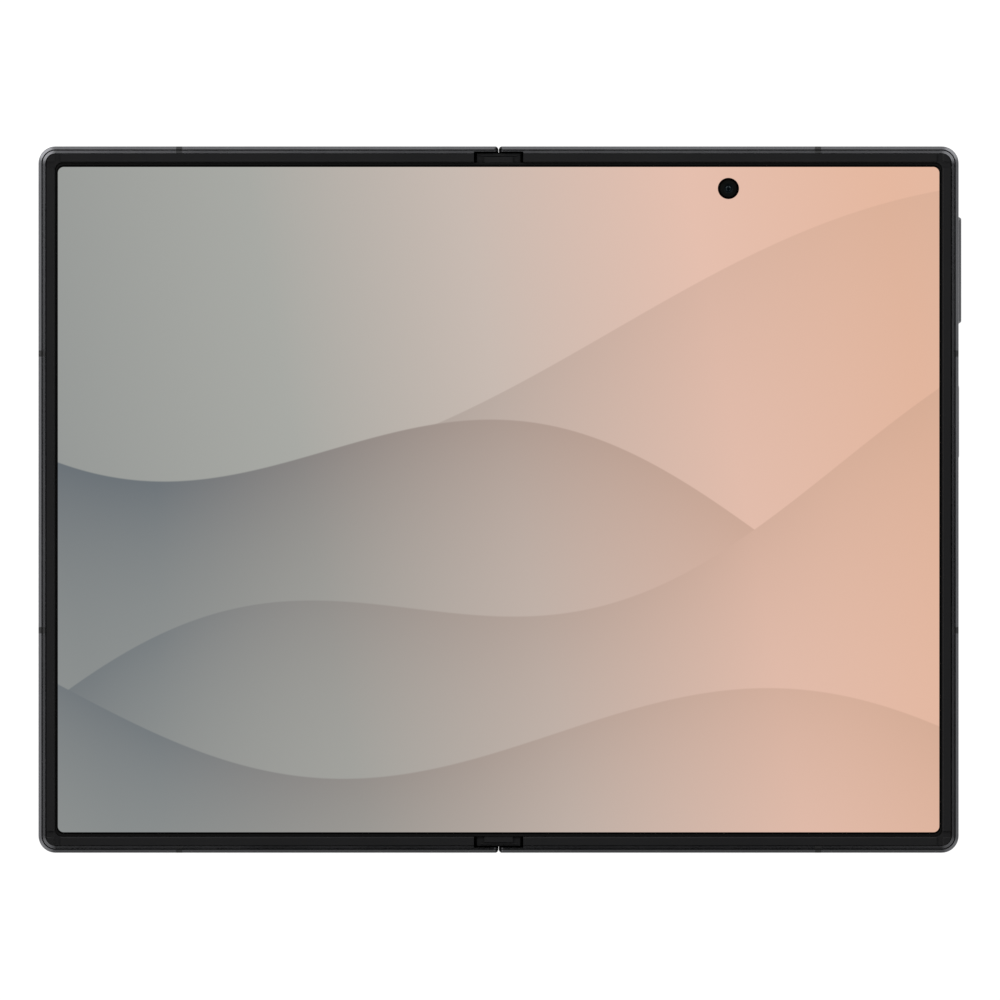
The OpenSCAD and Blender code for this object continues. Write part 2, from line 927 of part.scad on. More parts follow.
module port_board() {
    y0 = -board_top_y;
    x1 = half_w - ledge_inset - seat;
    color("#1d4a35")
        difference() {
            box(inner_x + seat, x1, y0, cell_right_y0 - cell_gap, z_board, z_parts);
            box(port_x - port_w / 2 - seat, port_x + port_w / 2 + seat, y0 - over, port_y + port_l + seat,
                z_board - over, z_parts + over);
            box(inner_x - over, pad_x + pad_l / 2 + 2 * seat, -arm_y - arm_w - 2 * seat, -arm_y + 2 * seat,
                z_board - over, z_parts + over);
            screw_holes();
        }
}

module port_shell() {
    color("#a9abae")
        translate([port_x, port_y + port_l, port_z])
            rotate([90, 0, 0])
                difference() {
                    linear_extrude(port_l)
                        pill(port_w, port_h);
                    translate([0, 0, port_wall])
                        linear_extrude(port_l)
                            pill(port_w - 2 * port_wall, port_h - 2 * port_wall);
                }
}

module port_tongue() {
    color("#17181a")
        box(port_x - 3.3, port_x + 3.3, port_y + 1, port_y + port_l - port_wall, port_z - 0.35, port_z + 0.35);
}

module speaker_right() {
    color("#222326")
        speaker_box(sound_x - 2.5, -half_h + rail_w + seat, 1, z_floor_right);
}

// A sealed speaker with a round diaphragm; it stands behind its row of holes
module speaker_box(x0, y_wall, inwards, z0) {
    w = sound_n * sound_pitch + 4;
    d = speaker_l;
    ya = min(y_wall, y_wall + inwards * d);
    inset = ledge_w + seat;
    difference() {
        union() {
            box(x0, x0 + w, ya + (inwards > 0 ? inset : 0), ya + d - (inwards > 0 ? 0 : inset), z0, z_under);
            box(x0, x0 + w, ya, ya + d, z_ledge + ledge_t + seat, z_under);
        }
        translate([x0 + w / 2, ya + d / 2, z0 - over])
            cylinder(r = speaker_r, h = over + 0.3);
    }
}

module vibration_motor() {
    x0 = inner_x + 8;
    y0 = -half_h + ledge_inset + 2;
    color("#8f9194")
        along_y(y0, y0 + motor_l)
            translate([x0 + motor_w / 2, (z_floor_right + z_under) / 2])
                pill(motor_w, z_under - z_floor_right);
}

module charging_coil() {
    cy = cell_right_y0 + cell_right_h / 2;
    color("#b06a3b")
        translate([(cell_x0 + cell_x1) / 2, cy, z_glass + glue])
            difference() {
                cylinder(r = coil_r, h = 0.15);
                translate([0, 0, -over])
                    cylinder(r = coil_r / 2, h = 2 * over);
            }
}

// Switch strip: a ribbon along the wall, with one dome under each key press
module key_flex() {
    dome_r = key_h / 2;
    dome_y = rocker_l / 2 - 3.5;
    color("#c98a2b") {
        box(flex_x - flex_t, flex_x, power_at - 2, rocker_at + dome_y + 2, key_z - dome_r, key_z + dome_r);
        for (y = [power_at, rocker_at - dome_y, rocker_at + dome_y])
            translate([flex_x, y, key_z])
                rotate([0, 90, 0])
                    cylinder(r = dome_r - seat, h = dome_x - flex_x);
    }
}

module screw(z_head) {
    translate([0, 0, z_head - 0.35])
        cylinder(r = screw_head_r, h = 0.35);
    translate([0, 0, z_head])
        cylinder(r = screw_r, h = screw_top - z_head);
}

module half_screws(z_boards) {
    color("#7b7d80")
        for (i = [0 : len(screw_points) - 1])
            translate([screw_points[i][0], screw_points[i][1], 0])
                screw(i < 4 ? arm_z : z_boards);
}

module screws_right() {
    half_screws(z_board);
}

module screws_left() {
    to_left()
        half_screws(z_board);
}

// ---- Keys ----

// A key cap with a step round its face, and a flange behind the rail
module key(y, l, out) {
    step = 0.15;
    flange_y = l / 2 + 0.5;
    flange_z = key_h / 2 + 0.2;
    foot_x = flange_x + key_flange - glue;
    step_x = half_w + out - step;
    translate([0, y, key_z]) {
        translate([foot_x, 0, 0])
            rotate([90, 0, 90])
                linear_extrude(step_x - foot_x)
                    pill(l, key_h);
        translate([step_x, 0, 0])
            rotate([90, 0, 90])
                linear_extrude(step)
                    pill(l - 2 * step, key_h - 2 * step);
        box(flange_x, flange_x + key_flange, -flange_y, flange_y, -flange_z, flange_z);
    }
}

// The rocker tips over a round fulcrum on its back
module volume_rocker() {
    color("#58595b") {
        key(rocker_at, rocker_l, rocker_out);
        translate([flange_x, rocker_at, key_z - key_h / 2])
            cylinder(r = flange_x - flex_x - glue, h = key_h);
    }
}

module power_key() {
    color("#3c3d3f")
        key(power_at, power_l, power_out);
}

// ---- Hinge ----

// Outline of the spine: two round flanks about the fold axes, and a flat back
module spine_outline(r) {
    for (x = [-axis_x, axis_x])
        translate([x, axis_z])
            circle(r = r);
    translate([-axis_x, axis_z - r])
        square([2 * axis_x, 2 * r]);
}

module spine_cover() {
    rib_w = 0.6;
    color("#46484b")
        difference() {
            union() {
                difference() {
                    along_y(-spine_y, spine_y)
                        spine_outline(spine_r);
                    along_y(-spine_y + end_wall, spine_y - end_wall)
                        spine_outline(spine_in_r);
                }
                // rib that holds up the middle of the display
                box(-rib_w, rib_w, -arm_y + seat, arm_y - seat, z_spine_floor - spine_wall / 2,
                    z_plate_top - glue);
            }
            difference() {
                box(-2 * spine_r - over, 2 * spine_r + over, -half_h, half_h, axis_z - spine_cut, z_top + over);
                box(-rib_w, rib_w, -arm_y + seat, arm_y - seat, 0, z_top);
            }
        }
}

// Cap over the gears, beyond the display's end: a plate with a block and a bar on it
module gear_cap() {
    y0 = display_y + glue;
    bar_l = 0.22;
    bar_gap = 0.15;
    bar_t = cap_t + 0.13;
    box(-cap_w, cap_w, y0, cap_y, hood_z, hood_z + cap_t);
    box(-hood_w, hood_w, y0, hood_y, hood_z, hood_z + hood_t);
    box(-bar_w, bar_w, hood_y + bar_gap, hood_y + bar_gap + bar_l, hood_z, hood_z + bar_t);
}

// Carries both shafts, the idlers' pins and the cap over the gears
module bearing_block(s) {
    color("#2a2a2c")
        scale_y(s) {
            difference() {
                union() {
                    along_y(block_in_y, block_out_y)
                        bearing_profile(barrel_r);
                    box(-hood_w, hood_w, display_y + glue, block_out_y, axis_z, hood_z + cap_t);
                    gear_cap();
                }
                for (x = [-axis_x, axis_x])
                    rod_y(shaft_r + run_gap, x, axis_z, block_in_y - over, block_out_y + over / 4);
            }
            for (x = [-idler_x, idler_x])
                rod_y(idler_pin_r, x, idler_z, block_out_y - 0.1, end_plate_y + end_plate_t);
        }
}

module scale_y(s) {
    if (s > 0)
        children();
    else
        mirror([0, 1, 0])
            children();
}

module bearing_profile(r) {
    translate([-axis_x, z_spine_floor])
        square([2 * axis_x, axis_z + r - z_spine_floor]);
    for (x = [-axis_x, axis_x])
        translate([x, axis_z])
            circle(r = r);
}

module bearing_block_top() {
    bearing_block(1);
}

module bearing_block_bottom() {
    bearing_block(-1);
}

// Outer bearing of the shafts and pins
module end_plate(s) {
    color("#3a3a3c")
        scale_y(s)
            difference() {
                along_y(end_plate_y, end_plate_y + end_plate_t) {
                    translate([-axis_x, z_spine_floor])
                        square([2 * axis_x, axis_z + barrel_r - z_spine_floor]);
                    for (x = [-axis_x, axis_x])
                        translate([x, axis_z])
                            circle(r = barrel_r);
                }
                for (x = [-axis_x, axis_x])
                    rod_y(shaft_r + run_gap, x, axis_z, end_plate_y - over / 4, end_plate_y + over);
                for (x = [-idler_x, idler_x])
                    rod_y(idler_pin_r + run_gap, x, idler_z, end_plate_y - over / 4, end_plate_y + over);
            }
}

module end_plate_top() {
    end_plate(1);
}

module end_plate_bottom() {
    end_plate(-1);
}

module gear(x, z, turn) {
    translate([x, 0, z])
        along_y(gear_y, gear_y + gear_w - glue)
            polygon(gear_points(turn));
}

module idler(x, turn) {
    color("#a8926a")
        both_ends()
            difference() {
                gear(x, idler_z, turn);
                rod_y(idler_pin_r + run_gap, x, idler_z, gear_y - over, gear_y + gear_w + over);
            }
}

module idler_right() {
    idler(idler_x, turn_idler_right);
}

module idler_left() {
    idler(-idler_x, turn_idler_left);
}

// Shafts with a timing gear cut on each outer end
module gear_shafts(x, turn) {
    color("#c2c4c7")
        both_ends() {
            rod_y(shaft_r, x, axis_z, arm_y - 0.5, end_plate_y + end_plate_t);
            gear(x, axis_z, turn);
        }
}

module right_gear_shafts() {
    gear_shafts(axis_x, turn_gear_right);
}

module left_gear_shafts() {
    gear_shafts(-axis_x, turn_gear_left);
}

// An arm grips its shaft and is screwed under the mid plate
module arms() {
    color("#8d9094")
        both_ends()
            difference() {
                union() {
                    rod_y(barrel_r, axis_x, axis_z, arm_y, arm_y + arm_w);
                    box(axis_x, inner_x + pad_l, arm_y, arm_y + arm_w, arm_z, arm_z + arm_t);
                    box(inner_x, inner_x + pad_l, arm_y, arm_y + arm_w, arm_z, z_plate - glue);
                }
                rod_y(shaft_r + glue / 2, axis_x, axis_z, arm_y - over, arm_y + arm_w + over);
                screw_holes();
                for (i = [0 : 3])
                    translate([screw_points[i][0], screw_points[i][1], arm_z - over])
                        cylinder(r = screw_r + run_gap, h = 2 * over);
            }
}

module right_arms() {
    arms();
}

module left_arms() {
    to_left()
        arms();
}

// Cupped washers on each shaft; their pressure holds the fold where it is left
module disc_springs() {
    n = 5;
    room = block_in_y - seat - spring_y;
    pitch = room / n;
    color("#6e7073")
        both_ends()
            for (i = [0 : n - 1])
                translate([axis_x, spring_y + i * pitch, axis_z])
                    rotate([-90, 0, 0])
                        difference() {
                            cylinder(r = barrel_r - glue, h = pitch * 0.7);
                            translate([0, 0, -over])
                                cylinder(r = shaft_r + glue / 2, h = 3 * over);
                        }
}

module right_disc_springs() {
    disc_springs();
}

module left_disc_springs() {
    to_left()
        disc_springs();
}

// Plate that tilts away under the fold as the phone shuts
module wing() {
    r = 0.14;
    color("#9a9da1") {
        box(wing_x, pivot_x, -wing_end_y, wing_end_y, z_plate_top - wing_t, z_plate_top);
        rod_y(wing_t / 2, pivot_x, pivot_z, -wing_end_y, wing_end_y);
        rod_y(r, pivot_x, pivot_z, -wing_end_y - ear_w, wing_end_y + ear_w);
    }
}

module wing_right() {
    wing();
}

module wing_left() {
    to_left()
        wing();
}

// ---- Inside the left half ----

module battery_left() {
    y1 = board_top_y - left_board_h - cell_gap;
    color("#2a2b2e")
        to_left()
            cell(cell_x0, cell_x1, y1 - cell_left_h, y1, z_floor_left, z_parts);
}

module left_board() {
    color("#1d4a35")
        to_left()
            difference() {
                box(inner_x + seat, half_w - ledge_inset - seat, board_top_y - left_board_h, board_top_y,
                    z_board, z_parts);
                box(inner_x - over, pad_x + pad_l / 2 + 2 * seat, arm_y - 2 * seat,
                    arm_y + arm_w + 2 * seat, z_board - over, z_parts + over);
                screw_holes();
            }
}

module speaker_left() {
    color("#222326")
        to_left()
            speaker_box(sound_x - 2.5, half_h - rail_w - seat, -1, z_floor_left);
}

// Metal cage round the card tray
module card_reader() {
    w = tray_w + 2 * seat;
    wall = 0.2;
    y0 = -half_h + ledge_inset + seat;
    color("#b3b6ba")
        to_left()
            difference() {
                box(tray_x - w / 2 - wall, tray_x + w / 2 + wall, y0, y0 + tray_l,
                    tray_z - tray_t / 2 - seat - wall, tray_z + tray_t / 2 + seat + wall);
                box(tray_x - w / 2, tray_x + w / 2, y0 - over, y0 + tray_l - wall,
                    tray_z - tray_t / 2 - seat, tray_z + tray_t / 2 + seat);
            }
}

// Tray with its two card recesses and the head that closes its slot
module card_tray() {
    y0 = -half_h + 0.05;
    color("#4a4b4e")
        to_left()
            difference() {
                union() {
                    translate([tray_x, y0 + rail_w, tray_z])
                        rotate([90, 0, 0])
                            linear_extrude(rail_w)
                                pill(tray_w + 0.6, tray_head_h);
                    box(tray_x - tray_w / 2, tray_x + tray_w / 2, y0 + rail_w - glue,
                        y0 + tray_l + rail_w, tray_z - tray_t / 2, tray_z + tray_t / 2);
                }
                box(tray_x - tray_w / 2 + 0.8, tray_x + tray_w / 2 - 0.8, y0 + rail_w + 1.4,
                    y0 + tray_l, tray_z - tray_t / 2 - over, tray_z + tray_t / 2 - 0.3);
                rod_y(0.45, tray_x + tray_w / 2 - 0.6, tray_z, y0 - over, y0 + rail_w);
            }
}

right_frame();
right_antenna_bands();
right_bezel();
display_right();
back_glass();
camera_deck();
camera_ring_1();
camera_ring_2();
camera_ring_3();
camera_lens_1();
camera_lens_2();
camera_lens_3();
camera_module_1();
camera_module_2();
camera_module_3();
flash_window();
inner_camera();
main_board();
shield_can();
battery_right();
port_board();
port_shell();
port_tongue();
speaker_right();
vibration_motor();
charging_coil();
key_flex();
screws_right();
right_arms();
right_gear_shafts();
right_disc_springs();
volume_rocker();
power_key();
wing_right();
spine_cover();
display_fold();
bearing_block_top();
bearing_block_bottom();
end_plate_top();
end_plate_bottom();
idler_right();
idler_left();
left_frame();
left_antenna_bands();
left_bezel();
display_left();
cover_glass();
cover_display();
cover_camera();
battery_left();
left_board();
speaker_left();
card_reader();
card_tray();
left_arms();
left_gear_shafts();
left_disc_springs();
screws_left();
wing_left();
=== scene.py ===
import json
import math

import bmesh
import bpy
from mathutils import Matrix, Vector


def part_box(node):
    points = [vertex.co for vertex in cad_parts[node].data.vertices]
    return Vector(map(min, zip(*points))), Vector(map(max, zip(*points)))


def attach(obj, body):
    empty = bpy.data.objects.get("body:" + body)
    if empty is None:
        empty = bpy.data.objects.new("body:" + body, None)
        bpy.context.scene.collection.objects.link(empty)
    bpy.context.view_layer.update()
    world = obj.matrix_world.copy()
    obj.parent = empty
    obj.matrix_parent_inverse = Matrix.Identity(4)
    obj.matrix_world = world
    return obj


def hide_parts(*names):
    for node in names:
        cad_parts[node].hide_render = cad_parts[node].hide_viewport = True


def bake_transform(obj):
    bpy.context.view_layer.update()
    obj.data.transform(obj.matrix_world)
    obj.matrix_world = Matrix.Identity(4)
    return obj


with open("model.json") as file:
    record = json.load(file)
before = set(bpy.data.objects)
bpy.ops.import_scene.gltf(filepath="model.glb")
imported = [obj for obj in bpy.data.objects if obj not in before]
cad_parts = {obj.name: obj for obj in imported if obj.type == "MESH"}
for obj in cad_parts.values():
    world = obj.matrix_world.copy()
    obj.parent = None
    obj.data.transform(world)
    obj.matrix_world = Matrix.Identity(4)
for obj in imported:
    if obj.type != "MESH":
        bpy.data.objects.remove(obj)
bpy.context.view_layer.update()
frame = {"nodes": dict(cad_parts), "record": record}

# ---------------------------------------------------------------------------------------
# Sizes, in metres
# ---------------------------------------------------------------------------------------

MM = 0.001
HAIR = MM / 100

RIGHT_LOW, RIGHT_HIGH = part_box("display_right")
PUNCH_LOW, PUNCH_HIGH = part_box("inner_camera")
FLASH_LOW, FLASH_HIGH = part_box("flash_window")
COVER_LOW, COVER_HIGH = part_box("cover_camera")
PORT_LOW, PORT_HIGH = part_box("port_tongue")
LENS_BOXES = [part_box("camera_lens_%d" % number) for number in (1, 2, 3)]
LENS_PITCH = LENS_BOXES[0][0].y - LENS_BOXES[1][0].y
LENS_CENTRE = (LENS_BOXES[0][0] + LENS_BOXES[0][1]) / 2

SCREEN_X = RIGHT_HIGH.x
SCREEN_Y = RIGHT_HIGH.y
SCREEN_TOP = RIGHT_HIGH.z
SCREEN_T = RIGHT_HIGH.z - RIGHT_LOW.z
SCREEN_CORNER = 1.25 * MM
SCREEN_EDGE = 0.06 * MM
LIT_X = SCREEN_X - 0.48 * MM
LIT_Y = SCREEN_Y - 0.74 * MM
LIT_CORNER = 1.05 * MM
PUNCH = Vector(((PUNCH_LOW.x + PUNCH_HIGH.x) / 2, (PUNCH_LOW.y + PUNCH_HIGH.y) / 2, 0))
COVER = Vector(((COVER_LOW.x + COVER_HIGH.x) / 2, (COVER_LOW.y + COVER_HIGH.y) / 2, 0))
PUNCH_R = 1.82 * MM
WINDOW_R = 1.5 * MM
LENS_CLEAR = 4.3 * MM
WEAVE = 0.16
BEND_TO = 3.5 * MM
BEND_ROWS = 18


# ---------------------------------------------------------------------------------------
# Shader trees
# ---------------------------------------------------------------------------------------

class Net:
    """A node tree, with short calls to place nodes and join their sockets."""

    def __init__(self, tree):
        self.tree = tree

    def node(self, kind, **settings):
        made = self.tree.nodes.new(kind)
        for name, value in settings.items():
            setattr(made, name, value)
        return made

    def put(self, socket, value):
        if isinstance(value, bpy.types.NodeSocket):
            self.tree.links.new(value, socket)
        elif value is not None:
            socket.default_value = value

    def math(self, operation, *values, clamp=False):
        made = self.node("ShaderNodeMath", operation=operation, use_clamp=clamp)
        for socket, value in zip(made.inputs, values):
            self.put(socket, value)
        return made.outputs[0]

    def vector(self, operation, *values):
        made = self.node("ShaderNodeVectorMath", operation=operation)
        for socket, value in zip(made.inputs, values):
            self.put(socket, value)
        return made.outputs["Value" if operation in ("LENGTH", "DOT_PRODUCT") else "Vector"]

    def mix(self, share, first, second, blend="MIX"):
        made = self.node("ShaderNodeMix", data_type="RGBA", blend_type=blend)
        self.put(made.inputs[0], share)
        self.put(made.inputs[6], first)
        self.put(made.inputs[7], second)
        return made.outputs[2]

    def span(self, value, low, high, to_low=0.0, to_high=1.0, smooth=False):
        made = self.node("ShaderNodeMapRange")
        made.interpolation_type = "SMOOTHSTEP" if smooth else "LINEAR"
        for socket, number in zip(made.inputs, (value, low, high, to_low, to_high)):
            self.put(socket, number)
        return made.outputs[0]

    def ramp(self, value, stops):
        made = self.node("ShaderNodeValToRGB")
        band = made.color_ramp
        while len(band.elements) < len(stops):
            band.elements.new(1.0)
        for element, (place, colour) in zip(band.elements, stops):
            element.position = place
            element.color = colour
        self.put(made.inputs[0], value)
        return made.outputs[0]

    def parts(self, vector):
        made = self.node("ShaderNodeSeparateXYZ")
        self.put(made.inputs[0], vector)
        return made.outputs

    def join(self, x, y, z):
        made = self.node("ShaderNodeCombineXYZ")
        for socket, value in zip(made.inputs, (x, y, z)):
            self.put(socket, value)
        return made.outputs[0]

    def noise(self, vector, scale, detail=2.0, roughness=0.5):
        made = self.node("ShaderNodeTexNoise")
        self.put(made.inputs["Vector"], vector)
        self.put(made.inputs["Scale"], scale)
        self.put(made.inputs["Detail"], detail)
        self.put(made.inputs["Roughness"], roughness)
        return made.outputs["Fac"]

    def cells(self, vector, scale, feature="F1"):
        made = self.node("ShaderNodeTexVoronoi", feature=feature)
        self.put(made.inputs["Vector"], vector)
        self.put(made.inputs["Scale"], scale)
        return made.outputs

    def place(self, millimetres=True, centre=(0, 0, 0), stretch=(1, 1, 1)):
        """Object coordinates in millimetres, about a centre and stretched along the axes."""
        source = self.node("ShaderNodeTexCoord").outputs["Object"]
        unit = 1 / MM if millimetres else 1
        made = self.node("ShaderNodeMapping")
        self.put(made.inputs["Vector"], source)
        made.inputs["Scale"].default_value = [unit * s for s in stretch]
        made.inputs["Location"].default_value = [-unit * s * c for s, c in zip(stretch, centre)]
        return made.outputs[0]

    def bump(self, height, strength, depth):
        made = self.node("ShaderNodeBump")
        made.inputs["Strength"].default_value = strength
        made.inputs["Distance"].default_value = depth
        self.put(made.inputs["Height"], height)
        return made.outputs[0]

    def effect(self, group, **values):
        made = self.node("ShaderNodeGroup", node_tree=group)
        for name, value in values.items():
            self.put(made.inputs[name.replace("_", " ").capitalize()], value)
        return made.outputs


def colour(red, green, blue):
    """A colour given as it shows on a screen, from 0 to 255, made linear."""
    def linear(part):
        share = part / 255
        return share / 12.92 if share <= 0.04045 else ((share + 0.055) / 1.055) ** 2.4
    return (linear(red), linear(green), linear(blue), 1.0)


def grey(share):
    """An even grey, as a colour with its alpha."""
    return (share, share, share, 1.0)


KINDS = {"vector": "NodeSocketVector", "number": "NodeSocketFloat", "colour": "NodeSocketColor"}


def effect_group(name, inputs, outputs):
    """An empty node group with named sockets; gives its net, its inputs and its output node."""
    tree = bpy.data.node_groups.new(name, "ShaderNodeTree")
    for label, kind, start in inputs:
        made = tree.interface.new_socket(label, in_out="INPUT", socket_type=KINDS[kind])
        if start is not None:
            made.default_value = start
    for label, kind in outputs:
        tree.interface.new_socket(label, in_out="OUTPUT", socket_type=KINDS[kind])
    net = Net(tree)
    return net, net.node("NodeGroupInput").outputs, net.node("NodeGroupOutput").inputs


def blasted_group():
    """The fine matt of bead-blasted and dyed metal: a height, and a small change of roughness."""
    net, given, out = effect_group("blasted", [
        ("Place", "vector", None), ("Size", "number", 0.06), ("Cloud", "number", 14.0)],
        [("Height", "number"), ("Shift", "number")])
    fine = net.noise(given["Place"], net.math("DIVIDE", 1.0, given["Size"]), 3.0, 0.6)
    broad = net.noise(given["Place"], net.math("DIVIDE", 1.0, given["Cloud"]), 2.0, 0.5)
    net.put(out["Height"], fine)
    net.put(out["Shift"], net.math("MULTIPLY_ADD", net.math("SUBTRACT", broad, 0.5), 0.12,
                                   net.math("MULTIPLY", net.math("SUBTRACT", fine, 0.5), 0.10)))
    return net.tree


def brushed_group():
    """Fine lines along one axis, as on ground steel; Place comes in already stretched."""
    net, given, out = effect_group("brushed", [
        ("Place", "vector", None), ("Scale", "number", 6.0)],
        [("Height", "number"), ("Shift", "number")])
    lines = net.noise(given["Place"], given["Scale"], 4.0, 0.65)
    net.put(out["Height"], lines)
    net.put(out["Shift"], net.math("MULTIPLY", net.math("SUBTRACT", lines, 0.5), 0.22))
    return net.tree


def handled_group():
    """Where fingers have been: broad faint smears and small specks, as a share from 0 to 1."""
    net, given, out = effect_group("handled", [
        ("Place", "vector", None), ("Smear size", "number", 18.0), ("Amount", "number", 0.5)],
        [("Mask", "number")])
    broad = net.noise(given["Place"], net.math("DIVIDE", 1.0, given["Smear size"]), 3.0, 0.55)
    smear = net.span(broad, 0.48, 0.72, smooth=True)
    fine = net.noise(given["Place"], 1.6, 4.0, 0.7)
    specks = net.span(fine, 0.62, 0.78, smooth=True)
    both = net.math("MAXIMUM", net.math("MULTIPLY", smear, 0.8), net.math("MULTIPLY", specks, 0.35))
    net.put(out["Mask"], net.math("MULTIPLY", both, given["Amount"]))
    return net.tree


def worn_edge_and_highlight_group():
    """A mask that is bright where two faces meet, broken up by noise; it stands partly for rubbed wear and
    partly for a painted edge highlight.
    """
    net, given, out = effect_group("worn edge", [
        ("Place", "vector", None), ("Width", "number", 0.00012), ("Amount", "number", 0.5)],
        [("Mask", "number")])
    rounded = net.node("ShaderNodeBevel", samples=4)
    net.put(rounded.inputs["Radius"], given["Width"])
    flat = net.node("ShaderNodeNewGeometry").outputs["Normal"]
    turn = net.math("SUBTRACT", 1.0, net.vector("DOT_PRODUCT", rounded.outputs[0], flat))
    edge = net.span(turn, 0.02, 0.22, smooth=True)
    patch = net.span(net.noise(given["Place"], 0.7, 3.0, 0.6), 0.35, 0.65, smooth=True)
    net.put(out["Mask"], net.math("MULTIPLY", net.math("MULTIPLY", edge, patch), given["Amount"]))
    return net.tree


def round_box_group():
    """1 inside a rectangle with round corners about the middle of Place, and 0 outside."""
    net, given, out = effect_group("round box", [
        ("Place", "vector", None), ("Half width", "number", 77.0), ("Half height", "number", 58.0),
        ("Corner", "number", 1.0), ("Blur", "number", 0.04)],
        [("Mask", "number")])
    at = net.parts(given["Place"])
    x = net.math("SUBTRACT", net.math("ABSOLUTE", at[0]),
                 net.math("SUBTRACT", given["Half width"], given["Corner"]))
    y = net.math("SUBTRACT", net.math("ABSOLUTE", at[1]),
                 net.math("SUBTRACT", given["Half height"], given["Corner"]))
    corner = net.vector("LENGTH", net.join(net.math("MAXIMUM", x, 0.0), net.math("MAXIMUM", y, 0.0), 0.0))
    inner = net.math("MINIMUM", net.math("MAXIMUM", x, y), 0.0)
    reach = net.math("SUBTRACT", net.math("ADD", corner, inner), given["Corner"])
    half_blur = net.math("MULTIPLY", given["Blur"], 0.5)
    net.put(out["Mask"], net.span(reach, net.math("MULTIPLY", half_blur, -1.0), half_blur, 1.0, 0.0))
    return net.tree


# Each dune: height of its crest, slope, wave height, wave length, shift, fade and depth of its shade
DUNES = [
    (24.0, 0.28, 9.0, 190.0, 20.0, 34.0, 0.36),
    (2.0, -0.22, 13.0, 160.0, -30.0, 30.0, 0.74),
    (-14.0, 0.34, 11.0, 150.0, 60.0, 26.0, 0.58),
    (-40.0, -0.10, 12.0, 175.0, 10.0, 24.0, 0.62),
]
SKY_STOPS = [
    (0.00, colour(150, 153, 151)),
    (0.28, colour(168, 169, 164)),
    (0.52, colour(200, 186, 177)),
    (0.78, colour(229, 191, 174)),
    (1.00, colour(229, 184, 160)),
]
SLATE = colour(84, 94, 104)
CLAY = colour(188, 152, 130)


def dunes_group():
    """Layered dunes in soft light: sage grey on the left, peach on the right."""
    net, given, out = effect_group("dunes", [("Place", "vector", None)], [("Colour", "colour")])
    at = net.parts(given["Place"])
    across = net.math("MULTIPLY_ADD", at[1], 0.18, at[0])
    sky = net.ramp(net.math("MULTIPLY_ADD", across, MM / (2 * LIT_X), 0.5), SKY_STOPS)
    lean = net.math("MULTIPLY_ADD", at[0], 1 / 120, 0.5, clamp=True)
    shadow = net.mix(lean, SLATE, CLAY)
    weaker = net.math("MULTIPLY_ADD", lean, -0.35, 1.0)
    seen = sky
    for height, slope, wave, length, shift, fade, depth in DUNES:
        swing = net.math("SINE", net.math("MULTIPLY_ADD", at[0], math.tau / length,
                                          -shift * math.tau / length))
        crest = net.math("MULTIPLY_ADD", swing, wave, net.math("MULTIPLY_ADD", at[0], slope, height))
        below = net.math("SUBTRACT", crest, at[1])
        inside = net.span(below, -0.12, 0.12)
        shade = net.math("EXPONENT", net.math("MULTIPLY", net.math("MAXIMUM", below, 0.0), -1 / fade))
        layer = net.mix(net.math("MULTIPLY", net.math("MULTIPLY", shade, depth), weaker), sky, shadow)
        seen = net.mix(inside, seen, layer)
    net.put(out["Colour"], seen)
    return net.tree


BLASTED = blasted_group()
BRUSHED = brushed_group()
HANDLED = handled_group()
WORN_EDGE_AND_HIGHLIGHT = worn_edge_and_highlight_group()
ROUND_BOX = round_box_group()
DUNES_PICTURE = dunes_group()


# ---------------------------------------------------------------------------------------
# Materials
# ---------------------------------------------------------------------------------------

def new_material(name, **constants):
    """A material with one Principled shader; gives the material, its net and the shader."""
    made = bpy.data.materials.new(name)
    made.use_nodes = True
    net = Net(made.node_tree)
    shader = made.node_tree.nodes["Principled BSDF"]
    for label, value in constants.items():
        shader.inputs[label.replace("_", " ")].default_value = value
    return made, net, shader.inputs


def anodised(name, tone, roughness, wear_and_highlight=0.35, grain=0.07):
    """Bead-blasted aluminium with a dyed skin, a little brighter where the edges are handled; the brighter
    edges are partly rubbed wear and partly a painted edge highlight.
    """
    made, net, skin = new_material(name, Metallic=1.0)
    place = net.place()
    blast = net.effect(BLASTED, place=place, size=grain)
    # Edge mask: partly rubbed wear, partly a painted edge highlight.
    edge = net.effect(WORN_EDGE_AND_HIGHLIGHT, place=place, amount=wear_and_highlight)["Mask"]
    bright = [min(1.0, 1.8 * part) for part in tone[:3]] + [1.0]
    clouds = net.span(net.noise(place, 0.05, 3.0), 0.3, 0.7, 0.0, 1.0)
    darker, lighter = ([share * part for part in tone[:3]] + [1.0] for share in (0.94, 1.06))
    dyed = net.mix(clouds, darker, lighter)
    net.put(skin["Base Color"], net.mix(edge, dyed, bright))
    net.put(skin["Roughness"], net.math("ADD", blast["Shift"], roughness, clamp=True))
    net.put(skin["Normal"], net.bump(blast["Height"], 0.25, 0.006 * MM))
    return made


def moulded(name, tone, roughness, specular=0.4, grain=0.12, depth=0.006):
    """Fine-grained moulded plastic."""
    made, net, skin = new_material(name, Specular_IOR_Level=specular)
    place = net.place()
    blast = net.effect(BLASTED, place=place, size=grain)
    clouds = net.noise(place, 0.08, 3.0)
    dark = [0.85 * part for part in tone[:3]] + [1.0]
    light = [1.15 * part for part in tone[:3]] + [1.0]
    net.put(skin["Base Color"], net.mix(clouds, dark, light))
    net.put(skin["Roughness"], net.math("ADD", blast["Shift"], roughness, clamp=True))
    net.put(skin["Normal"], net.bump(blast["Height"], 0.3, depth * MM))
    return made


